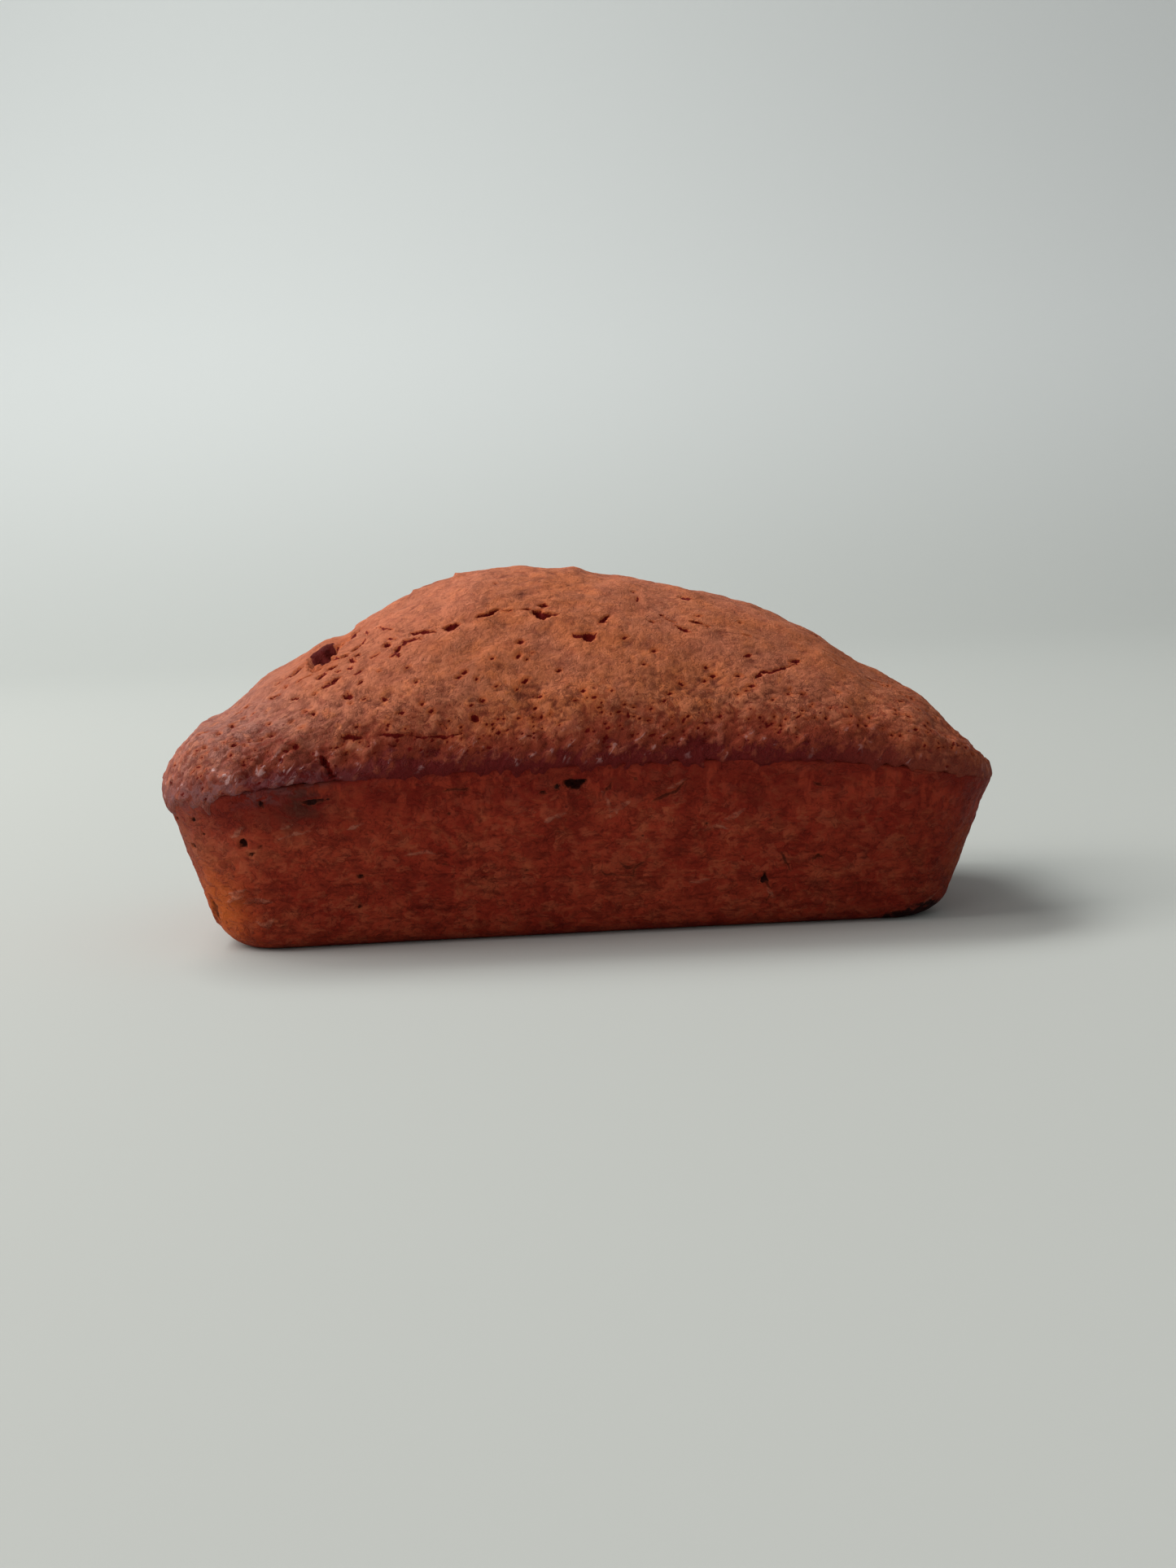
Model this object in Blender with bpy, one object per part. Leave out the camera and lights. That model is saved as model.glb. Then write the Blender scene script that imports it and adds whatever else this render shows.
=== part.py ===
"""Banana bread: one uncut tin loaf with a domed crust, a rough rim and tapered sides.

Metres, +Z up. The origin is the middle of the flat base, +X runs along the loaf's length and the
long side with the torn hollow and the open cracks faces -Y. The loaf is one solid: a band of rows
that climbs the side and rolls over the rim, a patch that closes the crown, and the flat base.
"""

import bpy
import numpy as np

MM = 0.001

# Driving dimensions: the rim is the widest line of the loaf, where the crust left the tin
RIM_LENGTH = 240 * MM
RIM_WIDTH = 124 * MM
RIM_CORNER = 33 * MM
RIM_HEIGHT = 51.6 * MM
RIM_DROP_LEFT = 7.2 * MM
RIM_DROP_RIGHT = 11.8 * MM
RIM_OVERHANG = 1.2 * MM
DOME_HEIGHT = 45.3 * MM
DOME_CREST = -0.10
DOME_FLANK_LEFT = 0.97
DOME_FLANK_RIGHT = 0.90
DOME_CROSS_POWER = 2.5

# Sides: how far they lean in for each unit of depth below the rim
LEAN_LEFT = 0.33
LEAN_RIGHT = 0.375
LEAN_SIDE = 0.285
SIDE_SWELL = 0.9 * MM
BASE_EDGE = 7 * MM

# How far the crust rolls in from the widest line before the dome takes over
ROLL_SIDE = 7 * MM
ROLL_LEFT = 11.5 * MM
ROLL_RIGHT = 2.5 * MM
ROLL_REACH = 24 * MM

# Long swells of the crown across its length: place along X, half length, height
CROWN_SWELLS = (
    (-92 * MM, 9 * MM, 1.8 * MM),
    (-67 * MM, 6 * MM, -0.8 * MM),
    (-33 * MM, 14 * MM, 1.3 * MM),
    (2 * MM, 3 * MM, 1.1 * MM),
    (33 * MM, 16 * MM, -1.0 * MM),
    (84 * MM, 13 * MM, -1.0 * MM),
    (108 * MM, 8 * MM, 2.0 * MM),
)

# Torn hollow on the left of the crest: middle, half sizes, turn in radians and depth
HOLLOW_PLACE = (-71 * MM, -18 * MM)
HOLLOW_REACH = (13 * MM, 5.5 * MM)
HOLLOW_TURN = 0.66
HOLLOW_DEPTH = 5.0 * MM
HOLLOW_LIP = 1.3 * MM

# Open cracks on the crown, each with its depth and its half width
CRACKS = (
    (2.6 * MM, 1.9 * MM, ((-63, -15), (-55, -27), (-46, -32), (-40, -34), (-33, -34))),
    (2.8 * MM, 2.0 * MM, ((-29, -33.5), (-22, -32), (-14, -32.5), (-5, -33.5))),
    (1.8 * MM, 1.6 * MM, ((-76, -32), (-68, -35), (-60, -31), (-47, -36))),
    (1.6 * MM, 1.6 * MM, ((26, -31), (32, -35), (37, -32))),
    (1.8 * MM, 2.2 * MM, ((54, -44), (60, -39), (67, -36))),
)

# Crust relief: size of the lumps and how far they stand out
SWELL_CELL = 38 * MM
SWELL_RISE = 1.1 * MM
LUMP_CELL = 15 * MM
LUMP_RISE = 0.9 * MM
CRUMPLE_CELL = 8 * MM
CRUMPLE_RISE = 0.55 * MM
RIM_FROTH_CELL = 11 * MM
RIM_FROTH_RISE = 0.9 * MM
RIM_FROTH_REACH = 7 * MM
SIDE_RELIEF = 0.35
RELIEF_FADE = 6 * MM
RELIEF_SEED = 41

# Mesh rows: stations along the long and the short sides, and rows up the band
STATIONS_LONG = 66
STATIONS_SHORT = 30
ROWS_EDGE = 3
ROWS_SIDE = 7
ROLL_INSETS = (0.0, 0.7 * MM, 2.2 * MM, 4.4 * MM, 7.4 * MM, 11.5 * MM, 17 * MM, ROLL_REACH)
ROW_GATHER = 0.28
ROW_GATHER_PLACE = -33 * MM

CRUST_COLOUR = (0.205, 0.052, 0.026, 1.0)
CRUST_ROUGHNESS = 0.78


def clear_scene():
    """Remove every object of the open file."""
    for old in list(bpy.data.objects):
        bpy.data.objects.remove(old, do_unlink=True)


def rim_walk():
    """Walk once round the rim, anticlockwise from the middle of the front left corner.

    Each of the four sides takes half of the corner at either end, so that its stations meet the
    rows of the crown. Returns the centres that the rim turns about and the outward directions.
    """
    half_length = RIM_LENGTH / 2 - RIM_CORNER
    half_width = RIM_WIDTH / 2 - RIM_CORNER
    arc = RIM_CORNER * np.pi / 4
    centres = []
    outward = []
    for side in range(4):
        long_side = side % 2 == 0
        half_run = half_length if long_side else half_width
        distance = half_width if long_side else half_length
        stations = STATIONS_LONG if long_side else STATIONS_SHORT
        walked = np.arange(stations) / stations * 2 * (half_run + arc) - (half_run + arc)
        along = np.clip(walked, -half_run, half_run)
        turn = (side - 1) * np.pi / 2
        angle = turn + (walked - along) / RIM_CORNER
        centres.append(np.column_stack((
            along * -np.sin(turn) + distance * np.cos(turn),
            along * np.cos(turn) + distance * np.sin(turn),
        )))
        outward.append(np.column_stack((np.cos(angle), np.sin(angle))))
    return np.concatenate(centres), np.concatenate(outward)


def rim_height(x):
    """Height of the widest line: level in the middle, with an arch down to both ends."""
    reach = x / (RIM_LENGTH / 2)
    drop = np.where(reach < 0, RIM_DROP_LEFT, RIM_DROP_RIGHT)
    return RIM_HEIGHT - drop * np.abs(reach) ** 3


def dome_rise(x, y):
    """Rise of the crown over the rim: a cosine along the length, a steep arch across the width."""
    reach = np.clip(x / (RIM_LENGTH / 2), -1, 1)
    right = reach > DOME_CREST
    from_crest = np.where(right, reach - DOME_CREST, DOME_CREST - reach)
    span = np.where(right, 1 - DOME_CREST, 1 + DOME_CREST)
    flank = np.where(right, DOME_FLANK_RIGHT, DOME_FLANK_LEFT)
    profile = np.clip(np.cos(np.pi / 2 * np.clip(from_crest / span, 0, 1)), 0, 1) ** flank
    across = np.clip(np.abs(y) / (RIM_WIDTH / 2), 0, 1)
    rise = DOME_HEIGHT * profile * (1 - across**DOME_CROSS_POWER)
    for place, half, height in CROWN_SWELLS:
        rise = rise + height * np.exp(-(((x - place) / half) ** 2)) * (1 - across**4)
    return rise


def band_rows(centres, outward):
    """Rows of the band, from the edge of the base up the side and over the rim to the crown.

    The base edge is a quarter turn, the side leans out by its slope, and the roll is a quarter of
    an ellipse that the dome is laid on. Where the roll is over, its height is the same all round.
    """
    end = np.abs(outward[:, 0]) ** 1.5
    left = outward[:, 0] < 0
    lean = np.column_stack((np.where(left, LEAN_LEFT, LEAN_RIGHT), np.full(len(outward), LEAN_SIDE)))
    roll = ROLL_SIDE * (1 - end) + np.where(left, ROLL_LEFT, ROLL_RIGHT) * end
    rim = centres + outward * RIM_CORNER
    height = rim_height(rim[:, 0])
    rows = []

    def side_row(level, inset):
        lean_in = lean * (height - level)[:, None] + (RIM_OVERHANG + inset)
        rows.append(np.column_stack((rim - outward * lean_in, level)))

    for step in range(ROWS_EDGE):
        turned = step / ROWS_EDGE * np.pi / 2
        level = np.full(len(rim), BASE_EDGE * (1 - np.cos(turned)))
        side_row(level, BASE_EDGE * (1 - np.sin(turned)))
    for step in range(ROWS_SIDE):
        climbed = step / ROWS_SIDE
        level = BASE_EDGE + (height - RIM_OVERHANG - BASE_EDGE) * climbed
        side_row(level, -SIDE_SWELL * np.sin(np.pi * climbed))
    for inset in ROLL_INSETS:
        place = rim - outward * inset
        lifted = np.sqrt(1 - (1 - np.minimum(inset / roll, 1)) ** 2)
        settled = inset / ROLL_REACH
        settled = settled * settled * (3 - 2 * settled)
        roll_height = roll + (ROLL_SIDE - roll) * settled
        rows.append(np.column_stack((
            place,
            rim_height(place[:, 0]) + lifted * (roll_height + dome_rise(place[:, 0], place[:, 1])),
        )))
    return rows


def crown_patch(edge):
    """Fill the ring of edge points with a grid in plan, each side ruled to the one opposite.

    Rows are gathered near the open cracks. Column 0 is the left end and row 0 the front.
    """
    long_stations, short_stations = STATIONS_LONG, STATIONS_SHORT
    front = edge[:long_stations + 1]
    right = edge[long_stations:long_stations + short_stations + 1]
    back = edge[long_stations + short_stations:2 * long_stations + short_stations + 1][::-1]
    left = np.concatenate((edge[2 * long_stations + short_stations:], edge[:1]))[::-1]
    u = np.linspace(0, 1, long_stations + 1)[:, None, None]
    v = np.linspace(0, 1, short_stations + 1)[None, :, None]
    ruled = (1 - v) * front[:, None] + v * back[:, None] + (1 - u) * left[None] + u * right[None]
    corners = (
        (1 - u) * (1 - v) * front[0] + u * (1 - v) * front[-1]
        + (1 - u) * v * back[0] + u * v * back[-1]
    )
    grid = ruled - corners
    pull = np.exp(-(((grid[..., 1] - ROW_GATHER_PLACE) / (12 * MM)) ** 2))
    inside = np.sin(np.pi * v[..., 0]) ** 0.5 * np.sin(np.pi * u[..., 0]) ** 0.5
    grid[..., 1] += ROW_GATHER * pull * inside * (ROW_GATHER_PLACE - grid[..., 1])
    return grid


def loaf_mesh_data():
    """Points and faces of the smooth loaf: band, crown and flat base, joined without a seam."""
    centres, outward = rim_walk()
    rows = band_rows(centres, outward)
    ring_size = len(centres)
    plan = crown_patch(rows[-1][:, :2])
    x, y = plan[..., 0], plan[..., 1]
    grid = np.stack((x, y, rim_height(x) + ROLL_SIDE + dome_rise(x, y)), axis=-1)

    last_ring = (len(rows) - 1) * ring_size
    columns, lines = grid.shape[0], grid.shape[1]
    index = np.zeros((columns, lines), dtype=int)
    index[:, 0] = last_ring + np.arange(columns)
    index[-1, :] = last_ring + STATIONS_LONG + np.arange(lines)
    index[:, -1] = last_ring + STATIONS_LONG + STATIONS_SHORT + np.arange(columns)[::-1]
    index[0, 1:] = last_ring + ring_size - np.arange(1, lines)
    inner = (columns - 2) * (lines - 2)
    index[1:-1, 1:-1] = (last_ring + ring_size + np.arange(inner)).reshape(columns - 2, lines - 2)
    points = np.concatenate(rows + [grid[1:-1, 1:-1].reshape(-1, 3)])

    ring = np.arange(ring_size)
    after = (ring + 1) % ring_size
    faces = []
    for row in range(len(rows) - 1):
        low = row * ring_size
        high = low + ring_size
        faces += np.column_stack((low + ring, low + after, high + after, high + ring)).tolist()
    faces += np.stack(
        (index[:-1, :-1], index[1:, :-1], index[1:, 1:], index[:-1, 1:]), axis=-1
    ).reshape(-1, 4).tolist()
    return points, faces + base_faces(ring_size)


def base_faces(ring_size):
    """Faces of the flat base: rungs from the front to the back, and a piece at either end."""
    front = np.arange(STATIONS_LONG + 1)
    back = (STATIONS_LONG * 2 + STATIONS_SHORT - front) % ring_size
    rungs = np.column_stack((front[:-1], back[:-1], back[1:], front[1:])).tolist()
    right_end = list(range(STATIONS_LONG, STATIONS_LONG + STATIONS_SHORT + 1))
    left_end = [station % ring_size for station in range(ring_size - STATIONS_SHORT, ring_size + 1)]
    return rungs + [right_end[::-1], left_end[::-1]]


def gradient_noise(points, cell, seed):
    """Smooth noise of about -1 to 1: a random slope at each corner of a lattice, blended between."""
    draw = np.random.default_rng(seed)
    order = draw.permutation(256)
    slopes = draw.normal(size=(256, 3))
    slopes /= np.linalg.norm(slopes, axis=1, keepdims=True)
    scaled = points / cell
    corner = np.floor(scaled).astype(int)
    local = scaled - corner
    fade = local**3 * (local * (local * 6 - 15) + 10)
    total = np.zeros(len(points))
    for step in np.ndindex(2, 2, 2):
        cells = (corner + step) & 255
        picked = order[(order[(order[cells[:, 0]] + cells[:, 1]) & 255] + cells[:, 2]) & 255]
        weight = np.prod(np.where(step, fade, 1 - fade), axis=1)
        total += weight * np.sum(slopes[picked] * (local - step), axis=1)
    return total * 1.6


def path_distance(places, path):
    """Distance in plan from each place to a path of straight stretches."""
    nearest = np.full(len(places), np.inf)
    for start, end in zip(path[:-1], path[1:]):
        start = np.array(start) * MM
        run = np.array(end) * MM - start
        share = np.clip((places - start) @ run / (run @ run), 0, 1)
        nearest = np.minimum(nearest, np.linalg.norm(places - start - share[:, None] * run, axis=1))
    return nearest


def crust_relief(points):
    """How far the crust stands out of the smooth loaf at each point, along its normal."""
    height = rim_height(points[:, 0])
    above = np.clip((points[:, 2] - height) / (4 * MM), 0, 1)
    strength = SIDE_RELIEF + (1 - SIDE_RELIEF) * above
    near_rim = np.exp(-(((points[:, 2] - height - 3 * MM) / RIM_FROTH_REACH) ** 2))
    relief = SWELL_RISE * gradient_noise(points, SWELL_CELL, RELIEF_SEED)
    relief += LUMP_RISE * gradient_noise(points, LUMP_CELL, RELIEF_SEED + 1)
    relief += CRUMPLE_RISE * gradient_noise(points, CRUMPLE_CELL, RELIEF_SEED + 2)
    relief *= strength
    froth = gradient_noise(points, RIM_FROTH_CELL, RELIEF_SEED + 3)
    return relief + RIM_FROTH_RISE * near_rim * froth


def crown_openings(points):
    """How deep the torn hollow and the cracks go at each point, with the lip that the tear raised."""
    on_crown = np.clip((points[:, 2] - rim_height(points[:, 0]) - 5 * MM) / (5 * MM), 0, 1)
    on_crown = on_crown * (points[:, 1] < 10 * MM)
    ragged = 1 + 0.35 * gradient_noise(points, 5 * MM, RELIEF_SEED + 4)
    long_way = np.array((np.cos(HOLLOW_TURN), np.sin(HOLLOW_TURN)))
    short_way = np.array((-long_way[1], long_way[0]))
    from_middle = points[:, :2] - HOLLOW_PLACE
    local = np.column_stack((from_middle @ long_way, from_middle @ short_way)) / HOLLOW_REACH
    spread = np.linalg.norm(local, axis=1) * ragged
    hollow = HOLLOW_DEPTH * np.clip(1 - spread**2, 0, 1)
    hollow -= HOLLOW_LIP * np.exp(-(((spread - 1.25) / 0.3) ** 2)) * (local[:, 1] > 0)
    depth = hollow
    for crack_depth, half_width, path in CRACKS:
        across = path_distance(points[:, :2], path) / (half_width * ragged)
        depth = np.maximum(depth, crack_depth * np.clip(1 - across, 0, 1))
    return depth * on_crown


def crust_material():
    """Matt, well browned crust."""
    material = bpy.data.materials.new("crust")
    material.use_nodes = True
    shader = material.node_tree.nodes["Principled BSDF"]
    shader.inputs["Base Color"].default_value = CRUST_COLOUR
    shader.inputs["Roughness"].default_value = CRUST_ROUGHNESS
    shader.inputs["Metallic"].default_value = 0.0
    return material


def make_loaf():
    """Build the loaf: lay out the smooth form, push the crust's relief into it and centre it."""
    points, faces = loaf_mesh_data()
    mesh = bpy.data.meshes.new("loaf")
    mesh.from_pydata(points.tolist(), [], faces)
    mesh.update()
    normals = np.zeros(len(points) * 3)
    mesh.vertices.foreach_get("normal", normals)
    normals = normals.reshape(-1, 3)

    off_base = np.clip(points[:, 2] / RELIEF_FADE, 0, 1)
    moved = (crust_relief(points) - crown_openings(points)) * off_base
    points = points + normals * moved[:, None]
    centre = (points.min(axis=0) + points.max(axis=0)) / 2
    points[:, :2] -= centre[:2]
    mesh.vertices.foreach_set("co", points.ravel())
    mesh.materials.append(crust_material())
    mesh.shade_smooth()
    mesh.update()
    loaf = bpy.data.objects.new("loaf", mesh)
    bpy.context.scene.collection.objects.link(loaf)
    return loaf


clear_scene()
make_loaf()
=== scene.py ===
"""Banana bread: the finished look of one uncut tin loaf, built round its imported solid.

The loaf is dressed as two closed shells that meet under the rim, as the crust itself does: the
crown, which rose out of the tin and rolled over its edge, and the smoother sides and base, which
browned against the tin. Every form is worked out as whole arrays, with +Z up and the long side
that has the torn hollow towards -Y. Lengths and point marks are in millimetres; meshes, patterns on
Object coordinates and the studio are in metres. The numbers that start each draw are seeds.
"""

import logging
import math
from collections.abc import Callable
from dataclasses import dataclass, field
from enum import Enum

import bpy
import numpy as np
from mathutils import Matrix, Vector


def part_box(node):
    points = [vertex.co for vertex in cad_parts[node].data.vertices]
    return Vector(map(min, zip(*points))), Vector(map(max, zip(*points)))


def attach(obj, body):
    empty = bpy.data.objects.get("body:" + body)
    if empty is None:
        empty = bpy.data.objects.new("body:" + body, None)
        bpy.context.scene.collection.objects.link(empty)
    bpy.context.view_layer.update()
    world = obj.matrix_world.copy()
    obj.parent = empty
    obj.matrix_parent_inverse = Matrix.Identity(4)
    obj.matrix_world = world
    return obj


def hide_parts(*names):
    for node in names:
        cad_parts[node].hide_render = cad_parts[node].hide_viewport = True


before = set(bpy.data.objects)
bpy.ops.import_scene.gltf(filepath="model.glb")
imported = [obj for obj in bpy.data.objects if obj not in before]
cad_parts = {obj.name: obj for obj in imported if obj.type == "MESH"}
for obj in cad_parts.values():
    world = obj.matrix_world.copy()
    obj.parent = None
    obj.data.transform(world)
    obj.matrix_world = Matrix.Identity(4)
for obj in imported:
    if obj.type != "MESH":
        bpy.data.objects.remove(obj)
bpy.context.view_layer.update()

Array = np.ndarray
Pair = tuple[float, float]
Triple = tuple[float, float, float]
MM = 0.001
LATTICE = 256
LAYER_STEP = 101
NOISE_GAIN = 1.6
LOG = logging.getLogger("banana bread")


class Side(Enum):
    """A side of the loaf on which openings are drawn: the two axes that it shows, the axis that
    faces it with its sign, and how much a place has to face it."""

    TOP = (0, 1, 2, 1, 0.3)
    FRONT = (0, 2, 1, -1, 0.25)
    LEFT = (1, 2, 0, -1, 0.5)
    RIGHT = (1, 2, 0, 1, 0.5)
    BACK = (0, 2, 1, 1, 0.25)


# ---------------------------------------------------------------------------------------------
# Curves and random relief
# ---------------------------------------------------------------------------------------------


def ease(value: Array) -> Array:
    """Turn a share of 0 to 1 into one that starts and ends level: 3v^2 - 2v^3."""
    held = np.clip(value, 0, 1)
    return held * held * (3 - 2 * held)


def bell(value: Array, middle: float, reach: float) -> Array:
    """A bell curve that is 1 at its middle and 1/e at its reach."""
    return np.exp(-(((value - middle) / reach) ** 2))


def spot(points: Array, middle: Triple, reach: Triple) -> Array:
    """A soft spot, 1 in its middle, by a bell curve of the given reach."""
    return np.exp(-(((points - middle) / reach) ** 2).sum(axis=1))


def noise(seed: int, points: Array, cell: float | Triple, layers: int = 1, fall: float = 0.5) -> Array:
    """Smooth noise, the same on every run.

    A lattice, which repeats after LATTICE cells, has a random slope at each corner, and a place
    blends those of the eight corners round it. Each further layer has half the cell.

    Args:
        seed: The draw.
        points: Places, one row each.
        cell: Size of the first layer's cells, one length or one for each axis.
        layers: How many layers there are.
        fall: Rise of a layer against the one before it.

    Returns:
        A value of about -1 to 1 for each place.
    """
    total = np.zeros(len(points))
    for layer in range(layers):
        draw = np.random.default_rng(seed + LAYER_STEP * layer)
        order = draw.permutation(LATTICE)
        slopes = draw.normal(size=(LATTICE, 3))
        slopes /= np.linalg.norm(slopes, axis=1, keepdims=True)
        scaled = points / (np.asarray(cell) / 2**layer)
        corner = np.floor(scaled).astype(int)
        local = scaled - corner
        fade = local**3 * (local * (local * 6 - 15) + 10)
        for step in np.ndindex(2, 2, 2):
            first, second, third = ((corner + step) % LATTICE).T
            picked = order[(order[(order[first] + second) % LATTICE] + third) % LATTICE]
            weight = NOISE_GAIN * fall**layer * np.prod(np.where(step, fade, 1 - fade), axis=1)
            total += weight * np.sum(slopes[picked] * (local - step), axis=1)
    return total


# ---------------------------------------------------------------------------------------------
# Form of the loaf
# ---------------------------------------------------------------------------------------------


@dataclass(frozen=True)
class RimWalk:
    """Stations once round the rim, anticlockwise from the middle of the front left corner.

    Args:
        centres: The points that the rim turns about, in plan.
        outward: The outward direction at each station, in plan.
        long_stations: Stations along a long side, half a corner at either end.
        short_stations: Stations along a short side.
    """

    centres: Array
    outward: Array
    long_stations: int
    short_stations: int

    @property
    def size(self) -> int:
        """Number of stations in the ring."""
        return len(self.centres)


@dataclass(frozen=True)
class LoafForm:
    """The smooth form of the loaf: rim, leaning sides, rolled edge and dome.

    A pair is a size at the left end and the same at the right; a swell is its place along the
    loaf, its half length and its rise.
    """

    rim_length: float = 240
    rim_width: float = 124
    rim_corner: float = 33
    rim_level: float = 51.6
    rim_drop: Pair = (7.2, 11.8)
    overhang: float = 1.2
    dome_height: float = 45.3
    dome_crest: float = -0.10
    dome_flank: Pair = (0.97, 0.90)
    dome_cross_power: float = 2.5
    lean_end: Pair = (0.33, 0.375)
    lean_side: float = 0.285
    side_swell: float = 0.9
    base_edge: float = 7
    roll_side: float = 7
    roll_end: Pair = (11.5, 1.6)
    roll_reach: float = 24
    swells: tuple[Triple, ...] = (
        (-92, 9, 1.8), (-67, 6, -0.8), (-27, 12, 0.7), (2, 3, 1.1), (33, 16, -1.5), (84, 13, -1.0),
        (106, 9, 1.3),
    )

    def walk(self, long_stations: int, short_stations: int) -> RimWalk:
        """Space stations evenly along each of the rim's four sides.

        A side is half a corner, a straight run and half a corner, so that its stations meet the
        rows of a grid that closes the crown.

        Args:
            long_stations: Stations along a long side.
            short_stations: Stations along a short side.

        Returns:
            The walk round the rim.
        """
        arc = self.rim_corner * np.pi / 4
        halves = (self.rim_length / 2 - self.rim_corner, self.rim_width / 2 - self.rim_corner)
        centres = []
        outward = []
        for side in range(4):
            half_run, distance = halves[side % 2], halves[1 - side % 2]
            stations = (long_stations, short_stations)[side % 2]
            walked = np.arange(stations) / stations * 2 * (half_run + arc) - (half_run + arc)
            along = np.clip(walked, -half_run, half_run)
            turn = (side - 1) * np.pi / 2
            angle = turn + (walked - along) / self.rim_corner
            forward, beside = (-np.sin(turn), np.cos(turn)), (np.cos(turn), np.sin(turn))
            centres.append(np.outer(along, forward) + distance * np.array(beside))
            outward.append(np.column_stack((np.cos(angle), np.sin(angle))))
        return RimWalk(np.concatenate(centres), np.concatenate(outward), long_stations, short_stations)

    def rim(self, walk: RimWalk) -> Array:
        """Points of the widest line, in plan."""
        return walk.centres + walk.outward * self.rim_corner

    def rim_height(self, x: Array) -> Array:
        """Height of the widest line: level in the middle, falling with x cubed to both ends."""
        reach = x / (self.rim_length / 2)
        return self.rim_level - np.where(reach < 0, *self.rim_drop) * np.abs(reach) ** 3

    def dome(self, x: Array, y: Array) -> Array:
        """Rise of the crown over the rim.

        A power of a cosine falls from the crest to either end, one minus a power of y falls to the
        long sides, and a few broad swells are laid across the crest.

        Args:
            x: Places along the loaf.
            y: Places across it.

        Returns:
            The rise at each place.
        """
        from_crest = np.clip(x / (self.rim_length / 2), -1, 1) - self.dome_crest
        span = np.where(from_crest <= 0, 1 + self.dome_crest, 1 - self.dome_crest)
        profile = np.clip(np.cos(np.pi / 2 * np.clip(np.abs(from_crest) / span, 0, 1)), 0, 1)
        profile = profile ** np.where(from_crest <= 0, *self.dome_flank)
        across = np.clip(np.abs(y) / (self.rim_width / 2), 0, 1)
        rise = self.dome_height * profile * (1 - across**self.dome_cross_power)
        for place, half, height in self.swells:
            away = ((x - place) / half) ** 2 + (y / (4.5 * half)) ** 2
            rise = rise + height * np.exp(-away) * (1 - across**4)
        return rise

    def roll(self, walk: RimWalk) -> Array:
        """Radius of the rolled edge at each station: wide at the left end, tight at the right."""
        end = np.abs(walk.outward[:, 0]) ** 1.5
        return self.roll_side * (1 - end) + np.where(walk.outward[:, 0] < 0, *self.roll_end) * end

    def wall_row(self, walk: RimWalk, level: Array, inset: Array | float) -> Array:
        """One row of the side.

        Args:
            walk: The stations.
            level: Height of the row at each station.
            inset: How far in from the side's own slope it lies.

        Returns:
            The row's points: rim - outward * (lean * depth below the rim + overhang + inset).
        """
        rim = self.rim(walk)
        lean = np.column_stack((
            np.where(walk.outward[:, 0] < 0, *self.lean_end), np.full(walk.size, self.lean_side),
        ))
        depth = (self.rim_height(rim[:, 0]) - level)[:, None]
        lean_in = lean * depth + self.overhang + np.reshape(inset, (-1, 1))
        return np.column_stack((rim - walk.outward * lean_in, level))


# ---------------------------------------------------------------------------------------------
# Openings of the crust
# ---------------------------------------------------------------------------------------------


@dataclass(frozen=True)
class Crack:
    """An open split in the crust, drawn as a path on one side of the loaf.

    Args:
        side: The side that it is drawn on.
        path: Points along it, by the two axes that the side shows.
        half_width: Half its width at the surface.
        depth: How deep it goes.
        break_up: 0 for one clean split, up to 1 for a split that closes now and then.
    """

    side: Side
    path: tuple[Pair, ...]
    half_width: float
    depth: float
    break_up: float

    def beside(self, flat: Array, wander: Array) -> tuple[Array, Array, Array]:
        """Distance to the wandering path.

        Args:
            flat: Places as the side shows them.
            wander: How far each place is shifted, so that the path isn't straight.

        Returns:
            The distance at each place, the same with a sign that tells the path's two sides, and
            the taper of the width: half an ellipse from one end of the path to the other.
        """
        corners = np.array(self.path)
        runs = np.diff(corners, axis=0)
        lengths = np.linalg.norm(runs, axis=1)
        walked = np.concatenate(((0,), np.cumsum(lengths))) / lengths.sum()
        nearest = np.full(len(flat), np.inf)
        signed = np.full(len(flat), np.inf)
        along = np.zeros(len(flat))
        shifted = flat + wander
        for start_at, run, length, before, after in zip(corners, runs, lengths, walked, walked[1:]):
            from_start = shifted - start_at
            share = np.clip(from_start @ run / length**2, 0, 1)
            gap = np.linalg.norm(from_start - share[:, None] * run, axis=1)
            turned = run[0] * from_start[:, 1] - run[1] * from_start[:, 0]
            closer = gap < nearest
            nearest = np.where(closer, gap, nearest)
            signed = np.where(closer, np.where(turned < 0, -gap, gap), signed)
            along = np.where(closer, before + share * (after - before), along)
        return nearest, signed, np.sqrt(4 * along * (1 - along) + 0.06)


def cracks(side: Side, *rows: tuple[float, ...]) -> tuple[Crack, ...]:
    """Make the cracks of one side, each from a row of its half width, depth, break-up and path."""
    return tuple(Crack(side, tuple(zip(row[3::2], row[4::2])), *row[:3]) for row in rows)


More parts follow.
